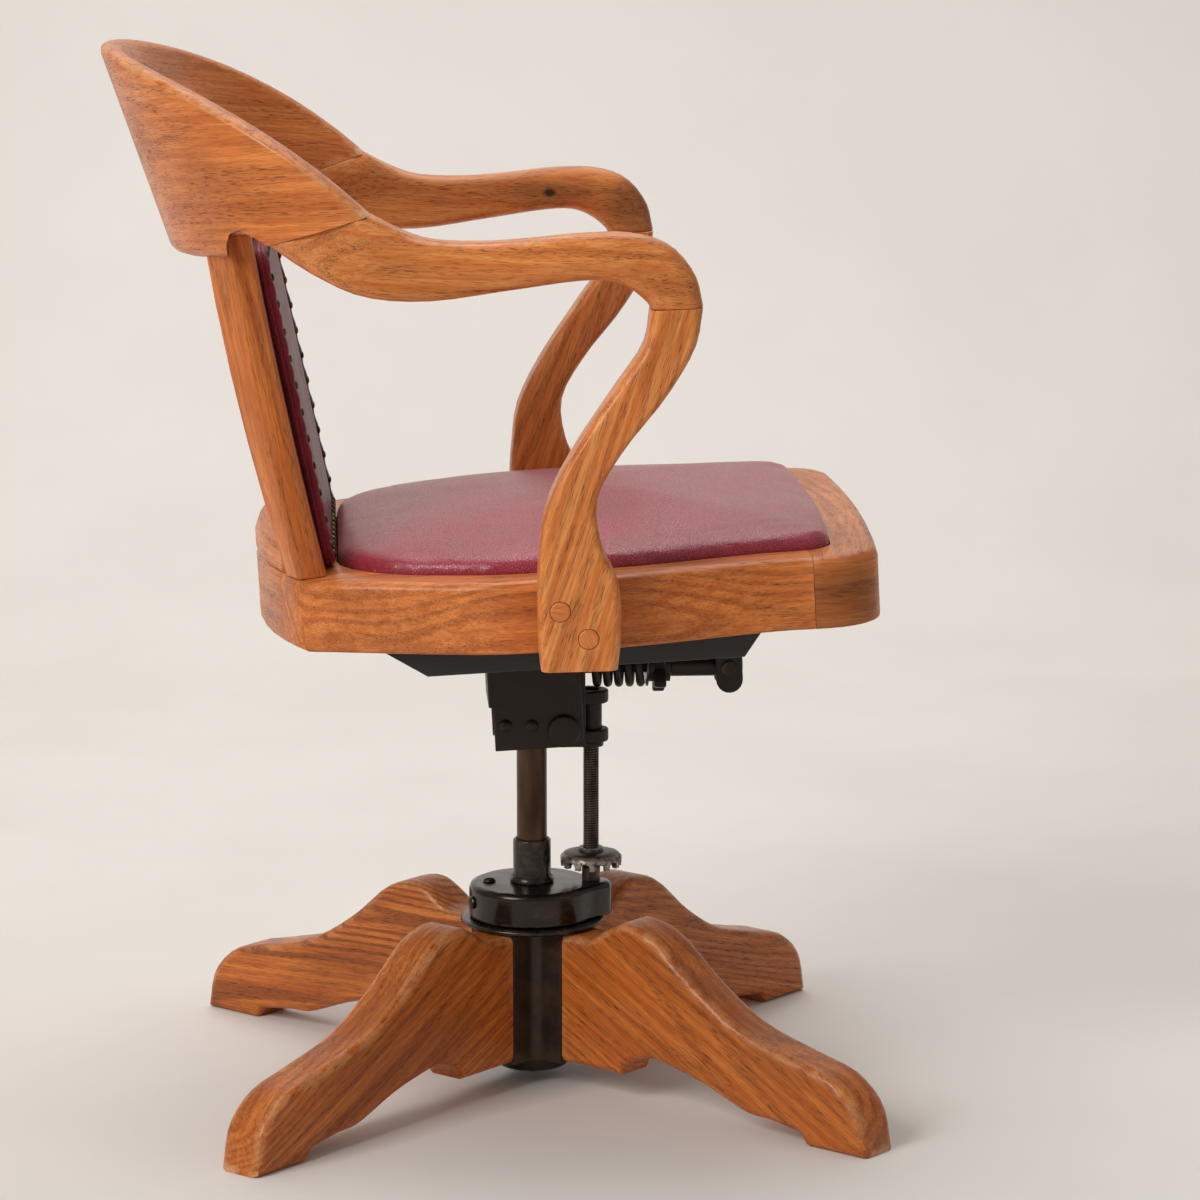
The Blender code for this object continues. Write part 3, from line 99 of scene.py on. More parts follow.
class Paint:
    """Node tree of one material, with short calls for the nodes that it needs."""

    def __init__(self, name, **shader_values):
        self.material = bpy.data.materials.new(name)
        self.material.use_nodes = True
        self.tree = self.material.node_tree
        self.shader = self.tree.nodes["Principled BSDF"]
        self.object_coords = self.tree.nodes.new("ShaderNodeTexCoord").outputs["Object"]
        for key, value in shader_values.items():
            self.feed(self.shader.inputs[key.replace("_", " ")], value)

    def feed(self, socket, value):
        """Link a socket to another one, or set its own value."""
        if isinstance(value, bpy.types.NodeSocket):
            self.tree.links.new(value, socket)
        else:
            socket.default_value = (*value, 1.0) if socket.type == "RGBA" and len(value) == 3 else value

    def node(self, kind, inputs, **settings):
        made = self.tree.nodes.new(kind)
        for key, value in settings.items():
            setattr(made, key, value)
        for key, value in inputs.items():
            self.feed(made.inputs[key], value)
        return made

    def math(self, operation, first, second=0.0):
        return self.node("ShaderNodeMath", {0: first, 1: second}, operation=operation).outputs[0]

    def stretched(self, size, turn=(0.0, 0.0, 0.0), shift=(0.0, 0.0, 0.0), coords=None):
        """Coordinates in which one unit is as long as the size says, along axes turned by the angles."""
        inputs = {"Vector": coords or self.object_coords, "Location": shift, "Rotation": turn, "Scale": size}
        return self.node("ShaderNodeMapping", inputs, vector_type="TEXTURE").outputs[0]

    def noise(self, coords, detail=2.0, roughness=0.5, distortion=0.0):
        inputs = {"Vector": coords, "Scale": 1.0}
        inputs.update({"Detail": detail, "Roughness": roughness, "Distortion": distortion})
        return self.node("ShaderNodeTexNoise", inputs).outputs[0]

    def span(self, value, low, high, to_low=0.0, to_high=1.0):
        """Smooth step of a value from low to high."""
        inputs = {"Value": value, "From Min": low, "From Max": high, "To Min": to_low, "To Max": to_high}
        return self.node("ShaderNodeMapRange", inputs, interpolation_type="SMOOTHSTEP").outputs[0]

    def mix(self, factor, first, second):
        inputs = {0: factor, 6: first, 7: second}
        return self.node("ShaderNodeMix", inputs, data_type="RGBA").outputs[2]

    def bump(self, height, strength, distance, normal=None):
        inputs = {"Height": height, "Strength": strength, "Distance": distance}
        if normal:
            inputs["Normal"] = normal
        return self.node("ShaderNodeBump", inputs).outputs[0]

    def around(self, centre_y, facing, radius):
        """Coordinates that run round an upright line: along the bend, outwards, up."""
        split = self.node("ShaderNodeSeparateXYZ", {0: self.object_coords}).outputs
        depth = self.math("MULTIPLY", self.math("SUBTRACT", split[1], centre_y), facing)
        along = self.math("MULTIPLY", self.math("ARCTAN2", split[0], depth), radius)
        across_square = self.math("MULTIPLY", split[0], split[0])
        square = self.math("ADD", across_square, self.math("MULTIPLY", depth, depth))
        level = self.math("ABSOLUTE", self.upward("True Normal"))
        depthwise = self.math("MULTIPLY", self.math("SQRT", square), self.span(level, 0.45, 0.80, 0.06, 1.0))
        return self.node("ShaderNodeCombineXYZ", {0: along, 1: depthwise, 2: split[2]}).outputs[0]

    def from_axis(self, x, y):
        """Distance from an upright line."""
        offset = self.stretched((1.0, 1.0, 1000.0), shift=(x, y, 0.0))
        return self.node("ShaderNodeVectorMath", {0: offset}, operation="LENGTH").outputs["Value"]

    def upward(self, kind):
        """How far the surface faces up."""
        facing = self.node("ShaderNodeNewGeometry", {}).outputs[kind]
        return self.node("ShaderNodeSeparateXYZ", {0: facing}).outputs[2]

    def near(self, spot, size):
        """One at a spot, nothing outside an oval of the size round it."""
        offset = self.stretched(size, shift=spot)
        reach = self.node("ShaderNodeVectorMath", {0: offset}, operation="LENGTH").outputs["Value"]
        return self.span(reach, 0.35, 1.0, 1.0, 0.0)

    def finish(self, colour=None, roughness=None, normal=None):
        for name, value in (("Base Color", colour), ("Roughness", roughness), ("Normal", normal)):
            if value is not None:
                self.feed(self.shader.inputs[name], value)
        return self.material


# Materials


def grain_turn(direction):
    """Turn that lays the first texture axis along the grain."""
    return Vector((1.0, 0.0, 0.0)).rotation_difference(Vector(direction)).to_euler()


def worn_edges(paint, reach):
    """One on the rounded outer edges of a form, nothing on its flats."""
    settings = {"inside": True, "only_local": True, "samples": 6}
    made = paint.node("ShaderNodeAmbientOcclusion", {"Distance": reach}, **settings)
    return paint.span(made.outputs["AO"], 0.94, 0.74)


def wood(name, grain, tones, seed, figure=0.3, lines=16.0, bend=None, wear=0.2, marks=(), open_grain=0.42):
    """Oak: broad colour drift, growth lines along the grain, fine streaks, open pores and worn edges."""
    paint = Paint(name, Coat_Weight=0.24, Coat_Roughness=0.17, Coat_IOR=1.5, Specular_IOR_Level=0.28,
                  Specular_Tint=(1.0, 0.90, 0.80))
    turn = grain_turn(grain)
    base = paint.around(*bend) if bend else None
    shift = (0.37 * seed, 0.113 * seed, 0.071 * seed)

    def layer(size):
        return paint.stretched(size, turn, shift, base)

    dark, mid, pale = tones
    broad = paint.noise(layer((0.22, 0.05, 0.05)), 3.0, 0.55)
    field = paint.noise(layer((0.90, 0.095, 0.095)), 1.0, 0.35, 0.1)
    rings = paint.math("SINE", paint.math("MULTIPLY", field, 2 * math.pi * lines))
    late = paint.span(rings, -0.3, 0.95)
    streak = paint.noise(layer((0.16, 0.0046, 0.0046)), 3.0, 0.6, 0.2)
    fine = paint.noise(layer((0.026, 0.0010, 0.0010)), 2.0, 0.6)
    pores = paint.span(paint.noise(layer((0.0105, 0.00075, 0.00075)), 1.0, 0.5), 0.565, 0.66)

    colour = paint.mix(paint.span(streak, 0.32, 0.68), mid, pale)
    colour = paint.mix(paint.span(late, 0.0, 1.0, 0.0, figure), colour, dark)
    colour = paint.mix(paint.span(broad, 0.45, 0.72, 0.0, 0.36), colour, dark)
    colour = paint.mix(paint.span(fine, 0.46, 0.70, 0.0, 0.40), colour, dark)
    openness = paint.span(late, 0.0, 1.0, 0.6 * open_grain, open_grain + 0.2)
    colour = paint.mix(paint.math("MULTIPLY", pores, openness), colour, PORE)
    # Dark marks at the listed spots: knots, and painted shade where a mark stands in for it
    for spot, size, strength in marks:
        colour = paint.mix(paint.math("MULTIPLY", paint.near(spot, size), strength), colour, KNOT_AND_SHADE_TONE)
    rubbed = paint.noise(paint.stretched((0.016, 0.016, 0.016), shift=shift), 4.0, 0.7)
    worn = paint.math("MULTIPLY", worn_edges(paint, 0.008), paint.span(rubbed, 0.38, 0.58, 0.0, wear))
    worn = paint.math("MULTIPLY", worn, paint.span(paint.upward("Normal"), -0.15, 0.35))
    colour = paint.mix(worn, colour, WORN_EDGE)

    uneven = paint.noise(paint.stretched((0.03, 0.03, 0.03), shift=shift), 3.0, 0.6)
    polish = paint.span(uneven, 0.3, 0.7, 0.36, 0.50)
    roughness = paint.math("ADD", polish, paint.math("MULTIPLY", pores, 0.2))
    height = paint.math("SUBTRACT", paint.math("MULTIPLY", fine, 0.4), pores)
    normal = paint.bump(height, 0.30, 0.00030)
    lumps = paint.noise(paint.stretched((0.05, 0.05, 0.05), shift=shift), 1.0)
    normal = paint.bump(lumps, 0.10, 0.004, normal)
    return paint.finish(colour, roughness, normal)


def end_grain(name, tones, seed):
    """Round plug: fine bands across a cut end."""
    paint = Paint(name, Coat_Weight=0.2, Coat_Roughness=0.3)
    dark, mid, pale = tones
    turn = (math.radians(38.0 + 50.0 * seed), 0.0, 0.0)
    shift = (0.0, 0.31 * seed, 0.17 * seed)
    band = paint.noise(paint.stretched((0.02, 0.02, 0.0011), turn, shift), 3.0, 0.6)
    pores = paint.span(paint.noise(paint.stretched((0.004, 0.0005, 0.0004), turn), 1.0), 0.6, 0.72)
    colour = paint.mix(paint.span(band, 0.35, 0.65), mid, pale)
    colour = paint.mix(paint.math("MULTIPLY", pores, 0.6), colour, dark)
    return paint.finish(colour, paint.span(band, 0.3, 0.7, 0.40, 0.52), paint.bump(band, 0.3, 0.0003))


def enamel(name, tone, worn_tone, wear, gloss, edge_wear, dusty=0.22, rim=None):
    """Black enamel on cast iron: soft gloss, rubbed edges, a few chips and a little dust."""
    paint = Paint(name, Specular_IOR_Level=0.38, Specular_Tint=(1.0, 0.84, 0.72),
                  Coat_Weight=0.12, Coat_Roughness=0.15)
    cast = paint.noise(paint.stretched((0.0035, 0.0035, 0.0035)), 3.0, 0.6)
    patch = paint.noise(paint.stretched((0.022, 0.022, 0.022)), 4.0, 0.62)
    chip_field = paint.noise(paint.stretched((0.0065, 0.0065, 0.0065)), 5.0, 0.68)
    chips = paint.span(chip_field, 0.72 - wear * 0.10, 0.76 - wear * 0.10)
    rub = paint.span(chip_field, 0.40, 0.62, 0.0, edge_wear)
    bare = paint.math("MAXIMUM", chips, paint.math("MULTIPLY", worn_edges(paint, 0.003), rub))
    if rim:
        x, y, radius = rim
        handled = paint.span(paint.from_axis(x, y), radius - 0.0045, radius - 0.001)
        handled = paint.math("MULTIPLY", handled, paint.span(chip_field, 0.36, 0.56))
        bare = paint.math("MAXIMUM", bare, handled)
    browner = (tone[0] * 2.4, tone[1] * 1.8, tone[2] * 1.5)
    colour = paint.mix(paint.span(patch, 0.35, 0.72), tone, browner)
    dust = paint.span(paint.noise(paint.stretched((0.04, 0.04, 0.016)), 4.0, 0.6), 0.52, 0.80, 0.0, dusty)
    colour = paint.mix(dust, colour, DUST)
    colour = paint.mix(bare, colour, worn_tone)
    polish = paint.span(patch, 0.3, 0.7, gloss, gloss + 0.16)
    roughness = paint.math("ADD", polish, paint.math("MULTIPLY", chips, 0.2))
    paint.feed(paint.shader.inputs["Metallic"], paint.math("MULTIPLY", bare, 0.8))
    height = paint.math("SUBTRACT", paint.math("MULTIPLY", cast, 0.5), paint.math("MULTIPLY", chips, 0.8))
    return paint.finish(colour, roughness, paint.bump(height, 0.22, 0.0006))


def bare_steel(name, tone, brown, along):
    """Handled steel: fine drawn lines, brown film, a few bright rubs."""
    paint = Paint(name, Metallic=1.0)
    lines = paint.noise(paint.stretched(along), 3.0, 0.6)
    film = paint.noise(paint.stretched((0.014, 0.014, 0.06)), 3.0, 0.55)
    colour = paint.mix(paint.span(film, 0.30, 0.70), tone, brown)
    colour = paint.mix(paint.span(lines, 0.58, 0.80, 0.0, 0.5), colour, tuple(v * 1.7 for v in tone))
    roughness = paint.span(film, 0.3, 0.7, 0.28, 0.42)
    return paint.finish(colour, roughness, paint.bump(lines, 0.12, 0.00015))


def painted_board(name):
    """Thick black paint on a board, with the grain showing through and scuffs."""
    paint = Paint(name, Coat_Weight=0.1, Coat_Roughness=0.4)
    grain = paint.noise(paint.stretched((0.003, 0.12, 0.003)), 3.0, 0.6)
    scuff = paint.span(paint.noise(paint.stretched((0.012, 0.03, 0.012)), 5.0, 0.7), 0.63, 0.70)
    colour = paint.mix(paint.span(grain, 0.35, 0.7), (0.010, 0.009, 0.008), (0.022, 0.019, 0.016))
    colour = paint.mix(paint.math("MULTIPLY", scuff, 0.5), colour, (0.075, 0.048, 0.030))
    return paint.finish(colour, paint.span(grain, 0.3, 0.7, 0.42, 0.60), paint.bump(grain, 0.35, 0.0005))


def plywood(name):
    """Bare board with a plain streaky grain."""
    paint = Paint(name)
    streak = paint.noise(paint.stretched((0.004, 0.16, 0.004)), 4.0, 0.6)
    colour = paint.mix(paint.span(streak, 0.3, 0.7), (0.27, 0.15, 0.065), (0.46, 0.29, 0.14))
    return paint.finish(colour, paint.span(streak, 0.3, 0.7, 0.55, 0.72), paint.bump(streak, 0.25, 0.0003))


def leather(name, deep, mid, worn, worn_amount, gloss=0.55, grain_size=0.0017):
    """Glazed hide: pebbled grain, creases, darker hollows, sheen and rubbed high spots."""
    paint = Paint(name, Specular_IOR_Level=0.2 + 0.6 * gloss, Coat_Weight=gloss, Coat_Roughness=0.36,
                  Sheen_Weight=0.15 * gloss, Sheen_Roughness=0.45, Sheen_Tint=(0.85, 0.70, 0.66))
    warp = paint.noise(paint.stretched((0.006, 0.006, 0.006)), 2.0)
    drift = paint.node("ShaderNodeCombineXYZ", {0: warp, 1: warp, 2: warp}).outputs[0]
    pebbles = paint.stretched((grain_size, grain_size, grain_size))
    coords = paint.node("ShaderNodeVectorMath", {0: pebbles, 1: drift}, operation="ADD").outputs[0]
    inputs = {"Vector": coords, "Scale": 1.0, "Randomness": 1.0}
    cells = paint.node("ShaderNodeTexVoronoi", inputs, feature="DISTANCE_TO_EDGE").outputs[0]
    valleys = paint.span(cells, 0.02, 0.20)
    patch = paint.noise(paint.stretched((0.045, 0.045, 0.045)), 4.0, 0.62)
    crease = paint.noise(paint.stretched((0.012, 0.020, 0.012)), 4.0, 0.7, 0.6)
    colour = paint.mix(paint.span(patch, 0.22, 0.62), deep, mid)
    colour = paint.mix(paint.span(valleys, 0.0, 1.0, 0.55, 0.0), colour, tuple(v * 0.4 for v in deep))
    rub_field = paint.noise(paint.stretched((0.08, 0.08, 0.08), shift=(0.4, 0.1, 0.0)), 5.0, 0.68)
    rub = paint.span(rub_field, 0.5, 0.78)
    colour = paint.mix(paint.math("MULTIPLY", rub, worn_amount), colour, worn)
    polish = paint.span(patch, 0.3, 0.7, 0.34, 0.46)
    roughness = paint.math("ADD", polish, paint.span(valleys, 0.0, 1.0, 0.18, 0.0))
    height = paint.math("ADD", valleys, paint.math("MULTIPLY", crease, 0.9))
    return paint.finish(colour, roughness, paint.bump(height, 0.95, 0.0010))


def old_brass(name):
    """Brass gone brown and dull."""
    paint = Paint(name, Metallic=1.0)
    tarnish = paint.noise(paint.stretched((0.004, 0.004, 0.004)), 4.0, 0.65)
    colour = paint.mix(paint.span(tarnish, 0.36, 0.62), (0.19, 0.115, 0.05), (0.035, 0.024, 0.016))
    return paint.finish(colour, paint.span(tarnish, 0.3, 0.7, 0.30, 0.50), paint.bump(tarnish, 0.25, 0.0002))


def leg_grain(number, slope):
    """Direction of the grain in one of the four legs."""
    angle = LEG_TURN + math.pi / 2 * number
    return math.cos(angle), math.sin(angle), slope


IRON = enamel("matt_iron", (0.0058, 0.0042, 0.0034), (0.075, 0.050, 0.036), 0.2, 0.46, 0.3)
DRUM = enamel("black_enamel", (0.0048, 0.0040, 0.0031), (0.13, 0.10, 0.08), 0.35, 0.15, 0.6, 0.42)
# Hub enamel: rubbed, chipped and dusty, and lighter and browner than the other iron as painted reflection
HUB = enamel("rubbed_enamel_painted_reflection", (0.0220, 0.0155, 0.0120), (0.105, 0.066, 0.044), 0.7, 0.32, 0.5, 0.60)
WHEEL_LOW, WHEEL_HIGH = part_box("handwheel")
SCREW_X, SCREW_Y = (WHEEL_LOW.x + WHEEL_HIGH.x) / 2, (WHEEL_LOW.y + WHEEL_HIGH.y) / 2
WHEEL_RIM = (SCREW_X, SCREW_Y, (WHEEL_HIGH.x - WHEEL_LOW.x) / 2)
WHEEL = enamel("handled_iron", (0.012, 0.0095, 0.0080), (0.38, 0.33, 0.29), 0.3, 0.30, 1.0, 0.2, WHEEL_RIM)
STEEL = bare_steel("browned_steel", (0.098, 0.057, 0.037), (0.058, 0.032, 0.021), (0.0012, 0.0012, 0.12))
PIN_STEEL = bare_steel("pin_steel", (0.11, 0.09, 0.075), (0.045, 0.032, 0.024), (0.03, 0.0012, 0.0012))
SEAT_HIDE = leather(
    "seat_hide", (0.415, 0.012, 0.042), (0.540, 0.023, 0.071), (0.40, 0.070, 0.080), 0.10, 0.68, 0.0021)
# Back panel hide: the seat's crimson leather made darker, as painted shade on the panel's face
SHADED_BACK_HIDE = leather(
    "back_hide_painted_shade", (0.150, 0.008, 0.020), (0.230, 0.016, 0.036), (0.22, 0.07, 0.07), 0.3, 0.22)
# Border lap hide: the border leather made near black, as painted shade on the lap that faces forward
SHADED_LAP_HIDE = leather(
    "lap_hide_painted_shade", (0.060, 0.012, 0.015), (0.110, 0.024, 0.030), (0.15, 0.06, 0.06), 0.35, 0.15, 0.0014)
BORDER_HIDE = leather(
    "border_hide", (0.260, 0.006, 0.030), (0.420, 0.018, 0.062), (0.40, 0.06, 0.09), 0.2, 0.2, 0.0014)

# Dark spots in the wood: a knot and a darker patch at the front end of the far arm, and painted shade on the
# outer faces at both front corners of the front rail
FAR_ARM_X = 0.262
KNOT_SPOT = (FAR_ARM_X, SWIVEL_Y - 0.028, 0.7248)
ARM_END_SPOT = (FAR_ARM_X, SWIVEL_Y - 0.112, 0.7100)
FAR_ARM_MARKS = (
    (KNOT_SPOT, (0.10, 0.0075, 0.0055), 0.95),
    (KNOT_SPOT, (0.10, 0.055, 0.015), 0.35),
    (ARM_END_SPOT, (0.10, 0.050, 0.040), 0.50),
)
# Painted shade: dark marks on the outer faces at both front corners of the front rail
FRONT_LOW, FRONT_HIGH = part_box("rail_front")
CORNER_SHADE_SIZE = (0.045, 0.075, 0.060)
CORNER_SHADE_Y = FRONT_LOW.y + 0.035
CORNER_SHADE_Z = FRONT_LOW.z + 0.012
FRONT_CORNER_SHADE_MARKS = tuple(
    ((x, CORNER_SHADE_Y, CORNER_SHADE_Z), CORNER_SHADE_SIZE, 0.42) for x in (FRONT_LOW.x, FRONT_HIGH.x))

# Which frame piece is made of what; the rest is plain iron
FRONT_BEND = (SWIVEL_Y + 0.6, -1.0, 0.88)
BACK_BEND = (SWIVEL_Y - 0.26, 1.0, 0.47)
CREST_BEND = (CREST_CENTRE_Y, 1.0, 0.25)
LOOKS = {
    "leg_rear_left": wood("oak_leg_1", leg_grain(0, -0.06), LEG, 1, 0.60, 30.0, None, 0.7, (), 0.6),
    "leg_rear_right": wood("oak_leg_2", leg_grain(1, -0.50), LEG, 2, 0.25, 26.0, None, 0.9, (), 0.6),
    "leg_front_right": wood("oak_leg_3", leg_grain(2, -0.55), LEG, 3, 0.25, 26.0, None, 0.9, (), 0.6),
    "leg_front_left": wood("oak_leg_4", leg_grain(3, -0.30), LEG, 4, 0.35, 26.0, None, 0.7, (), 0.6),
    "rail_front": wood("oak_front", (1, 0, 0), OAK, 5, bend=FRONT_BEND, marks=FRONT_CORNER_SHADE_MARKS),
    "rail_back": wood("oak_back", (1, 0, 0), OAK, 6, bend=BACK_BEND),
    "rail_left": wood("oak_rail_1", (0, 1, -0.05), OAK, 7),
    "rail_right": wood("oak_rail_2", (0, 1, -0.05), OAK, 8),
    "back_block": wood("oak_block", (1, 0, 0), OAK, 9, bend=BACK_BEND),
    "stile_left": wood("oak_stile_1", (0, 0.2, 1), OAK, 10, 0.35),
    "stile_right": wood("oak_stile_2", (0, 0.2, 1), OAK, 11, 0.35),
    "crest_rail": wood("oak_crest", (1, 0, -0.10), OAK, 12, 0.18, bend=CREST_BEND, wear=0.8),
    "arm_left": wood("oak_arm_1", (0, 1, 0.05), ARM, 13, 0.35, marks=FAR_ARM_MARKS),
    "arm_right": wood("oak_arm_2", (0, 1, 0.05), ARM, 14, 0.25, open_grain=0.55),
    "arm_post_left": wood("oak_post_1", (0, -0.30, 0.95), ARM, 15),
    "arm_post_right": wood("oak_post_2", (0, -0.30, 0.95), ARM, 16, 0.25),
    "bearer_board": painted_board("black_board"),
    "seat_board": plywood("bare_board"),
    "back_board": wood("oak_board", (1, 0, 0), OAK, 17, 0.4),
}
for number, plug in enumerate(sorted(name for name in NODES if name.startswith("post_plug"))):
    LOOKS[plug] = end_grain("oak_plug_" + str(number), OAK, number + 1)
for name in NODES:
    if name.startswith("leg_stud") or name in ("base_plate_bolt", "thrust_washer", "column_shaft"):
        LOOKS[name] = STEEL
    elif name in ("hanger_pin", "spring_washer"):
        LOOKS[name] = PIN_STEEL
    elif name.startswith(("drum", "hub", "column_sleeve", "base_plate")):
        LOOKS[name] = DRUM
LOOKS["hub_casting"] = HUB
LOOKS["handwheel"] = WHEEL


# Rigid pieces of the frame

WELD_REACH = 0.00002
EDGE_BREAK = 0.0007


def dress(node):
    """Give a frame piece its material, a small edge break and even shading."""
    obj = NODES[node]
    obj.data.materials.clear()
    obj.data.materials.append(LOOKS.get(node, IRON))
    obj.data.polygons.foreach_set("use_smooth", [True] * len(obj.data.polygons))
    weld = obj.modifiers.new("weld", "WELD")
    weld.merge_threshold = WELD_REACH
    bevel = obj.modifiers.new("edge_break", "BEVEL")
    bevel.width = EDGE_BREAK
    bevel.segments = 2
    bevel.limit_method = "ANGLE"
    bevel.angle_limit = math.radians(50.0)
    normals = obj.modifiers.new("even_normals", "WEIGHTED_NORMAL")
    normals.mode = "FACE_AREA_WITH_ANGLE"
    normals.weight = 60


for node in NODES:
    dress(node)


# New pieces


def add_piece(name, verts, faces, material, body, slot):
    """New piece with smooth shading that rides on a body."""
    mesh = bpy.data.meshes.new(name)
    mesh.from_pydata([tuple(vert) for vert in verts], [], faces)
    work = bmesh.new()
    work.from_mesh(mesh)
    bmesh.ops.recalc_face_normals(work, faces=work.faces)
    work.to_mesh(mesh)
    work.free()
    mesh.polygons.foreach_set("use_smooth", [True] * len(mesh.polygons))
    mesh.materials.append(material)
    obj = bpy.data.objects.new(name, mesh)
    bpy.context.scene.collection.objects.link(obj)
    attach(obj, body)
    return obj


def skin(rings, loop=False):
    """Faces over rings of equal length, closed in a loop or capped at both ends."""
    count = len(rings[0])
    verts = [point for ring in rings for point in ring]
    faces = []
    for row in range(len(rings) if loop else len(rings) - 1):
        low, high = row * count, (row + 1) % len(rings) * count
        for i in range(count):
            j = (i + 1) % count
            faces.append((low + i, low + j, high + j, high + i))
    if not loop:
        faces.append(tuple(range(count)))
        faces.append(tuple(range(len(verts) - count, len(verts))))
    return verts, faces


# Height screw with its thread

THREAD_PITCH = 0.002117
THREAD_DEPTH = 0.0010
THREAD_SIDES = 24
THREAD_STEPS = 8
THREAD_FADE = 0.002
SCREW_RADIUS = 0.0067
SCREW_CORE = SCREW_RADIUS - THREAD_DEPTH
SCREW_TIP = SCREW_RADIUS - 0.002
SCREW_FOOT = 0.006
SCREW_BOSS = 0.0078
SCREW_GAP = 0.0003


def screw_ring(radii, z):
    """Ring of points round the screw's line, one for each radius."""
    ring = []
    for side, radius in enumerate(radii):
        angle = 2 * math.pi * side / THREAD_SIDES
        ring.append((SCREW_X + radius * math.cos(angle), SCREW_Y + radius * math.sin(angle), z))
    return ring


def thread_steel_shaded_roots():
    """Steel with painted shade between the threads: near black in the roots, lighter on the crests, with
    some grime.
    """
    paint = Paint("thread_steel_shaded_roots", Metallic=0.6, Specular_IOR_Level=0.4)
    # Painted shade: thread roots near black, crests in the metal's colour
    crests_over_shaded_roots = paint.span(paint.from_axis(SCREW_X, SCREW_Y), SCREW_CORE, SCREW_RADIUS - THREAD_DEPTH * 0.2)
    grime = paint.noise(paint.stretched((0.006, 0.006, 0.02)), 4.0, 0.6)
    metal = paint.mix(paint.span(grime, 0.35, 0.70), (0.15, 0.115, 0.09), (0.060, 0.042, 0.032))
    colour = paint.mix(crests_over_shaded_roots, (0.008, 0.006, 0.005), metal)
    return paint.finish(colour, paint.span(grime, 0.3, 0.7, 0.32, 0.5))


def build_screw():
    low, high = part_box("height_screw")
    wheel_low, wheel_top = WHEEL_LOW.z, WHEEL_HIGH.z
    boss_low, boss_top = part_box("drum_housing")[1].z + SCREW_GAP, wheel_low - SCREW_GAP
    profile = [
        (SCREW_FOOT, low.z), (SCREW_FOOT, boss_low), (SCREW_BOSS - 0.0004, boss_low),
        (SCREW_BOSS, boss_low + 0.0006), (SCREW_BOSS, boss_top - 0.0008), (SCREW_BOSS - 0.0008, boss_top),
        (SCREW_CORE, boss_top + 0.0002), (SCREW_CORE, wheel_top - 0.004),
    ]
    rings = [screw_ring([radius] * THREAD_SIDES, z) for radius, z in profile]
    start, end = wheel_top - 0.003, high.z - 0.002
    steps = round((end - start) / THREAD_PITCH * THREAD_STEPS)
    for step in range(steps + 1):
        z = start + (end - start) * step / steps
        fade = max(0.0, min(1.0, (z - start) / THREAD_FADE, (end - z) / THREAD_FADE))
        radii = []
        for side in range(THREAD_SIDES):
            phase = (z / THREAD_PITCH - side / THREAD_SIDES) % 1.0
            crest = 1 - abs(2 * phase - 1)
            radii.append(SCREW_CORE + THREAD_DEPTH * min(1.0, crest * 1.6) * fade)
        rings.append(screw_ring(radii, z))
    rings.append(screw_ring([SCREW_TIP] * THREAD_SIDES, high.z))
    screw = add_piece("height_screw_threaded", *skin(rings), thread_steel_shaded_roots(), "height_screw", "steel")
    screw.data.set_sharp_from_angle(angle=math.radians(40.0))
    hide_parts("height_screw")


# Coil spring, in two halves that both ride on the tension rod

SPRING_WIRE = 0.00365
SPRING_TURNS = 4.75
SPRING_RADIUS = 0.01425
WIRE_SIDES = 12
STEPS_PER_TURN = 28


def build_spring():
    low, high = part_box("tilt_spring")
    rod_low, rod_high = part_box("tension_rod")
    axis_z = (rod_low.z + rod_high.z) / 2
    back, front = high.y - SPRING_WIRE, low.y + SPRING_WIRE
    length = back - front
    steps = round(SPRING_TURNS * STEPS_PER_TURN)
    path = []
    for step in range(steps + 1):
        angle = 2 * math.pi * SPRING_TURNS * step / steps
        x, z = SPRING_RADIUS * math.cos(angle), axis_z + SPRING_RADIUS * math.sin(angle)
        path.append(Vector((x, back - length * step / steps, z)))
    half = len(path) // 2
    halves = {"tilt_spring_back": path[:half + 1], "tilt_spring_front": path[half:]}
    for name, points in halves.items():
        rings = []
        for i, point in enumerate(points):
            tangent = (points[min(i + 1, len(points) - 1)] - points[max(i - 1, 0)]).normalized()
            out = Vector((point.x, 0.0, point.z - axis_z)).normalized()
            side = tangent.cross(out).normalized()
            ring = []
            for corner in range(WIRE_SIDES):
                turn = 2 * math.pi * corner / WIRE_SIDES
                outwards, sideways = SPRING_WIRE * math.cos(turn), SPRING_WIRE * math.sin(turn)
                ring.append(point + out * outwards + side * sideways)
            rings.append(ring)
        coil = add_piece(name, *skin(rings), IRON, "tension_rod", "iron")
        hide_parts("tilt_spring")
        if name == "tilt_spring_back":
            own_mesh(coil)
        else:
            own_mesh(coil)


# Upholstery

CLOTH_FRAMES = 20


def evaluated_mesh(obj):
    """New mesh of an object with its modifiers applied."""
    bpy.context.view_layer.update()
    graph = bpy.context.evaluated_depsgraph_get()
    return bpy.data.meshes.new_from_object(obj.evaluated_get(graph))


def points_of(mesh):
    flat = np.empty(len(mesh.vertices) * 3, np.float64)
    mesh.vertices.foreach_get("co", flat)
    return flat.reshape(-1, 3)


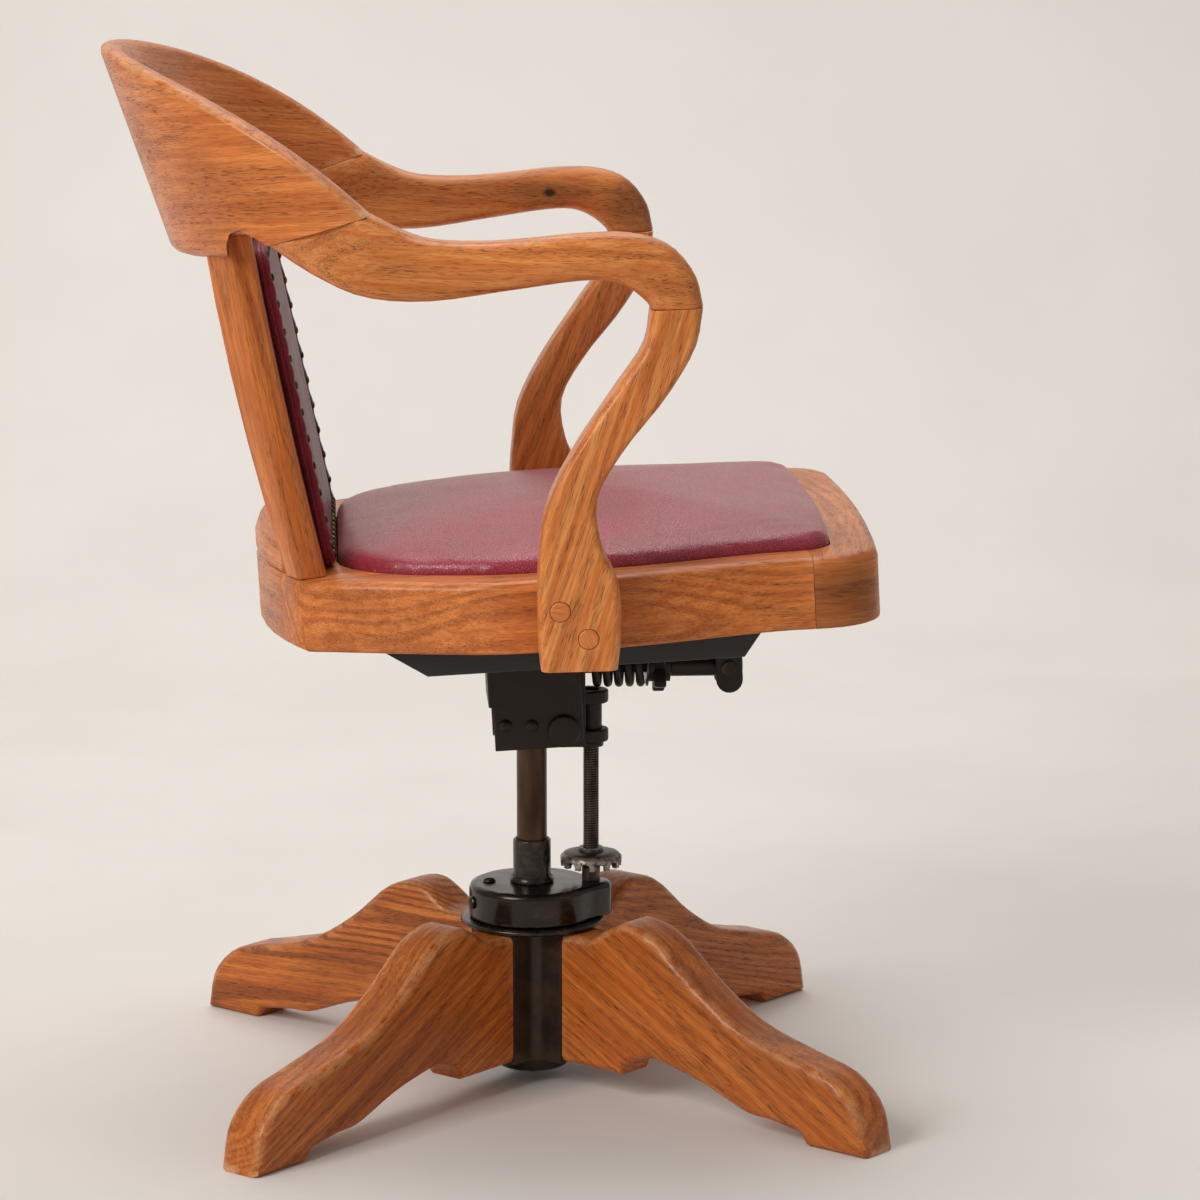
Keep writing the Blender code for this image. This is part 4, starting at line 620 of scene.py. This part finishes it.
def stuffed(name, node, voxel, pull_in, pressure, cap):
    """Soft copy of a padded solid: pulled in a little, remeshed, and blown up as cloth."""
    work = bmesh.new()
    work.from_mesh(NODES[node].data)
    bmesh.ops.remove_doubles(work, verts=work.verts, dist=WELD_REACH)
    bmesh.ops.recalc_face_normals(work, faces=work.faces)
    work.normal_update()
    for vert in work.verts:
        vert.co -= vert.normal * pull_in
    mesh = bpy.data.meshes.new(name)
    work.to_mesh(mesh)
    work.free()
    obj = bpy.data.objects.new(name, mesh)
    bpy.context.scene.collection.objects.link(obj)
    remesh = obj.modifiers.new("remesh", "REMESH")
    remesh.mode = "VOXEL"
    remesh.voxel_size = voxel
    obj.data = evaluated_mesh(obj)
    obj.modifiers.clear()
    start = points_of(obj.data)
    cloth = obj.modifiers.new("cloth", "CLOTH")
    cloth.settings.quality = 6
    cloth.settings.mass = 0.25
    cloth.settings.tension_stiffness = 22
    cloth.settings.compression_stiffness = 22
    cloth.settings.bending_stiffness = 1.2
    cloth.settings.use_pressure = True
    cloth.settings.uniform_pressure_force = pressure
    cloth.settings.effector_weights.gravity = 0.0
    cloth.point_cache.frame_start = 1
    cloth.point_cache.frame_end = CLOTH_FRAMES
    for number in range(1, CLOTH_FRAMES + 1):
        bpy.context.scene.frame_set(number)
    swollen = evaluated_mesh(obj)
    obj.modifiers.clear()
    bpy.context.scene.frame_set(1)
    move = points_of(swollen) - start
    reach = np.linalg.norm(move, axis=1, keepdims=True)
    start = start + move * np.minimum(1.0, cap / np.maximum(reach, 1e-9))
    bpy.data.meshes.remove(swollen)
    return obj, start


def settle(obj, points, material, body, node):
    """Give a soft piece its last shape and hide, and let it stand for its solid."""
    obj.data.vertices.foreach_set("co", points.astype(np.float32).ravel())
    obj.data.update()
    obj.data.polygons.foreach_set("use_smooth", [True] * len(obj.data.polygons))
    obj.data.materials.clear()
    obj.data.materials.append(material)
    subdivide = obj.modifiers.new("subdivide", "SUBSURF")
    subdivide.levels = 1
    subdivide.render_levels = 1
    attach(obj, body)
    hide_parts(node)


def smooth_step(values, low, high):
    share = np.clip((values - low) / (high - low), 0.0, 1.0)
    return share * share * (3 - 2 * share)


def into(matrix, points):
    """World points in the frame of the matrix."""
    inverse = np.array(matrix.inverted())
    return points @ inverse[:3, :3].T + inverse[:3, 3]


def out_of(matrix, points):
    """Points of the frame of the matrix in the world."""
    forward = np.array(matrix)
    return points @ forward[:3, :3].T + forward[:3, 3]


def fitted(points, solid, axes, spare):
    """Stretch points so that they span as much as the solid does, and a little more, along the axes."""
    for axis in axes:
        low, high = points[:, axis].min(), points[:, axis].max()
        to_low, to_high = solid[:, axis].min() - spare, solid[:, axis].max() + spare
        points[:, axis] = to_low + (points[:, axis] - low) * (to_high - to_low) / (high - low)
    return points


def build_seat_cushion():
    obj, points = stuffed("seat_cushion", "seat_pad", 0.005, 0.0012, 4.0, 0.0018)
    solid = into(SEAT, points_of(NODES["seat_pad"].data))
    local = fitted(into(SEAT, points), solid, (0, 1), 0.0005)
    local[:, 2] = np.clip(local[:, 2], solid[:, 2].min() + 0.0003, None)
    # Drawn hide: short creases that run in from the front corners, and a shallow hollow where one sits
    across = local[:, 0] / np.ptp(solid[:, 0]) * 2
    front = smooth_step(-local[:, 1], 0.10, 0.225)
    corner = front * smooth_step(np.abs(across), 0.45, 0.95)
    creases = np.sin(local[:, 0] * 2 * math.pi / 0.021 + local[:, 1] * 95) * 0.00055
    top = smooth_step(local[:, 2], 0.002, 0.012)
    local[:, 2] += creases * corner * top
    hollow = np.exp(-((local[:, 0] / 0.15) ** 2 + ((local[:, 1] - 0.02) / 0.14) ** 2))
    local[:, 2] -= 0.0010 * hollow * top
    settle(obj, out_of(SEAT, local), SEAT_HIDE, "seat", "seat_pad")


def panel_outline(inset, spacing):
    """Points with outward normals round the back panel, a given distance inside its edge, evenly spaced."""
    half, low, high = PANEL_HALF - inset, PANEL_LOW + inset, PANEL_HIGH - inset
    corner = max(PANEL_CORNER - inset, 0.003)
    raw = []
    for (x, z), start in (
        ((half - corner, low + corner), -90), ((half - corner, high - corner), 0),
        ((corner - half, high - corner), 90), ((corner - half, low + corner), 180),
    ):
        for step in range(9):
            angle = math.radians(start + 90 * step / 8)
            raw.append((Vector((x + corner * math.cos(angle), z + corner * math.sin(angle))),
                        Vector((math.cos(angle), math.sin(angle)))))
    lengths = [0.0]
    closed = raw + raw[:1]
    for (a, _), (b, _) in zip(closed, closed[1:]):
        lengths.append(lengths[-1] + (b - a).length)
    count = round(lengths[-1] / spacing)
    found = []
    span = 0
    for i in range(count):
        along = lengths[-1] * i / count
        while lengths[span + 1] < along:
            span += 1
        share = (along - lengths[span]) / (lengths[span + 1] - lengths[span])
        (a, normal_a), (b, normal_b) = closed[span], closed[span + 1]
        found.append((a.lerp(b, share), normal_a.lerp(normal_b, share).normalized(), along))
    return found


# Back panel
NAIL_SPACING = 0.0222
NAIL_INSET = 0.0062
NAIL_RADIUS = 0.0036
NAIL_RISE = 0.0020
NAIL_SIDES = 14
PANEL_FACE = 0.0070
BORDER_STEP = 0.0026
SHADED_LAP_FACES = (8, 9, 10, 11)


def build_back_cushion():
    obj, points = stuffed("back_cushion", "back_pad", 0.0036, 0.0006, 3.0, 0.0010)
    solid = into(PANEL, points_of(NODES["back_pad"].data))
    local = fitted(into(PANEL, points), solid, (0, 2), -0.0003)
    back = solid[:, 1].max()
    local[:, 1] = np.clip(local[:, 1], None, back - 0.0003)
    x, z = local[:, 0], local[:, 2]
    edge = np.minimum(PANEL_HALF - np.abs(x), np.minimum(z - PANEL_LOW, PANEL_HIGH - z))
    facing = smooth_step(back - local[:, 1], 0.008, 0.0105)
    # Fuller stuffing than the plain solid, drawn down at each nail
    local[:, 1] -= facing * 0.0006 * smooth_step(edge, 0.010, 0.040)
    for spot, _, _ in panel_outline(NAIL_INSET, NAIL_SPACING):
        reach = np.hypot(x - spot.x, z - spot.y)
        local[:, 1] += facing * 0.0008 * np.exp(-((reach / 0.0085) ** 2))
    settle(obj, out_of(PANEL, local), SHADED_BACK_HIDE, "seat", "back_pad")


def on_panel(spot, forward):
    """Point that stands forward of a spot on the back panel."""
    return PANEL @ Vector((spot.x, -forward, spot.y))


def build_border():
    """Folded strip over the edge of the back panel, scalloped between the nails, and the nail heads."""
    rings = []
    for spot, normal, along in panel_outline(0.0, BORDER_STEP):
        swell = 0.5 - 0.5 * math.cos(2 * math.pi * along / NAIL_SPACING)
        face, lap = PANEL_FACE + 0.0010 + 0.0012 * swell, 0.0082 + 0.0014 * swell
        section = [
            (-0.0020, 0.0004), (-0.0001, 0.0005), (0.0007, 0.0014), (0.0007, 0.0031), (0.0001, 0.0037),
            (0.0007, 0.0043), (0.0007, 0.0060), (0.0, face - 0.0006), (-0.0022, face + 0.0004),
            (-0.0060, face), (-lap, face - 0.0007), (-lap, PANEL_FACE - 0.0004),
            (-0.0050, PANEL_FACE - 0.0014),
        ]
        rings.append([on_panel(spot + normal * out, forward) for out, forward in section])
    strip = add_piece("back_border", *skin(rings, loop=True), BORDER_HIDE, "seat", "leather")
    # The faces of the lap on the panel's front get the darker hide: painted shade
    strip.data.materials.append(SHADED_LAP_HIDE)
    for face in strip.data.polygons:
        face.material_index = int(face.index % len(section) in SHADED_LAP_FACES)
    smooth = strip.modifiers.new("subdivide", "SUBSURF")
    smooth.levels = 1
    smooth.render_levels = 1

    verts, faces = [], []
    for spot, _, _ in panel_outline(NAIL_INSET, NAIL_SPACING):
        rings = []
        for angle in (-12, 8, 30, 52, 72):
            turn = math.radians(angle)
            radius, rise = NAIL_RADIUS * math.cos(turn), PANEL_FACE + 0.0013 + NAIL_RISE * math.sin(turn)
            ring = []
            for side in range(NAIL_SIDES):
                around = 2 * math.pi * side / NAIL_SIDES
                ring.append(on_panel(spot + Vector((math.cos(around), math.sin(around))) * radius, rise))
            rings.append(ring)
        more_verts, more_faces = skin(rings)
        faces += [tuple(len(verts) + i for i in face) for face in more_faces]
        verts += more_verts
    add_piece("back_nails", verts, faces, old_brass("old_brass"), "seat", "iron_worn")


build_screw()
build_spring()
build_seat_cushion()
build_back_cushion()
build_border()


# Stage, light and camera

FLOOR_NEAR, FLOOR_FAR, FLOOR_HALF = -5.0, 2.8, 3.6
SWEEP_RISE, SWEEP_BEND, SWEEP_STEPS = 4.5, 1.1, 12
CAMERA_SPOT = (-3.8134, 0.1638 + SWIVEL_Y, 1.1238)
CAMERA_PITCH = math.radians(-10.599)
CAMERA_HEADING = (0.99832, -0.05791)
CAMERA_LENS = 139.7


def build_stage():
    """Pale floor that runs up into a backdrop in one sweep."""
    profile = [(FLOOR_NEAR, 0.0)]
    for step in range(SWEEP_STEPS + 1):
        angle = math.radians(90 * step / SWEEP_STEPS)
        x = FLOOR_FAR - SWEEP_BEND + SWEEP_BEND * math.sin(angle)
        profile.append((x, SWEEP_BEND - SWEEP_BEND * math.cos(angle)))
    profile.append((FLOOR_FAR, SWEEP_RISE))
    verts, faces = [], []
    for x, z in profile:
        verts += [(x, -FLOOR_HALF, z), (x, FLOOR_HALF, z)]
    for i in range(len(profile) - 1):
        faces.append((2 * i, 2 * i + 1, 2 * i + 3, 2 * i + 2))
    mesh = bpy.data.meshes.new("studio_sweep")
    mesh.from_pydata(verts, [], faces)
    mesh.polygons.foreach_set("use_smooth", [True] * len(mesh.polygons))
    paint = Paint("studio_paper", Specular_IOR_Level=0.15)
    speck = paint.noise(paint.stretched((0.35, 0.35, 0.35)), 3.0)
    tint = paint.mix(paint.span(speck, 0.3, 0.7), (0.79, 0.755, 0.72), (0.82, 0.785, 0.75))
    mesh.materials.append(paint.finish(tint, 0.85))
    sweep = bpy.data.objects.new("studio_sweep", mesh)
    bpy.context.scene.collection.objects.link(sweep)


def lamp(name, spot, target, size, power, colour):
    """Soft lamp at a spot, turned to a target."""
    data = bpy.data.lights.new(name, "AREA")
    data.shape = "RECTANGLE"
    data.size, data.size_y = size
    data.energy = power
    data.color = colour
    obj = bpy.data.objects.new(name, data)
    obj.location = spot
    obj.rotation_euler = (Vector(target) - Vector(spot)).to_track_quat("-Z", "Y").to_euler()
    bpy.context.scene.collection.objects.link(obj)


def build_light():
    """Even room light, a pale background for the camera alone, and three soft lamps."""
    world = bpy.data.worlds.new("studio_air")
    world.use_nodes = True
    tree = world.node_tree
    shade = tree.nodes["Background"]
    shade.inputs["Color"].default_value = (0.97, 0.95, 0.93, 1.0)
    shade.inputs["Strength"].default_value = 0.30
    seen = tree.nodes.new("ShaderNodeBackground")
    seen.inputs["Color"].default_value = (0.78, 0.74, 0.70, 1.0)
    seen.inputs["Strength"].default_value = 1.0
    choice = tree.nodes.new("ShaderNodeMixShader")
    tree.links.new(tree.nodes.new("ShaderNodeLightPath").outputs["Is Camera Ray"], choice.inputs[0])
    tree.links.new(shade.outputs[0], choice.inputs[1])
    tree.links.new(seen.outputs[0], choice.inputs[2])
    tree.links.new(choice.outputs[0], tree.nodes["World Output"].inputs["Surface"])
    bpy.context.scene.world = world
    lamp("window", (-2.4, 2.5, 2.5), (0.0, 0.0, 0.5), (1.7, 1.9), 88.0, (1.0, 0.98, 0.95))
    lamp("fill", (-2.6, -3.4, 1.6), (0.0, 0.0, 0.4), (2.4, 2.0), 3.0, (1.0, 0.97, 0.93))
    lamp("top", (1.2, 0.0, 3.2), (1.6, 0.0, 0.6), (2.4, 3.2), 54.0, (1.0, 0.99, 0.97))


def build_camera():
    data = bpy.data.cameras.new("photo_view")
    data.lens = CAMERA_LENS
    data.sensor_width = 36.0
    camera = bpy.data.objects.new("photo_view", data)
    camera.location = CAMERA_SPOT
    level = math.cos(CAMERA_PITCH)
    ahead = Vector((CAMERA_HEADING[0] * level, CAMERA_HEADING[1] * level, math.sin(CAMERA_PITCH)))
    camera.rotation_euler = ahead.to_track_quat("-Z", "Y").to_euler()
    bpy.context.scene.collection.objects.link(camera)
    bpy.context.scene.camera = camera


build_stage()
build_light()
build_camera()
bpy.context.scene.view_settings.view_transform = "Standard"
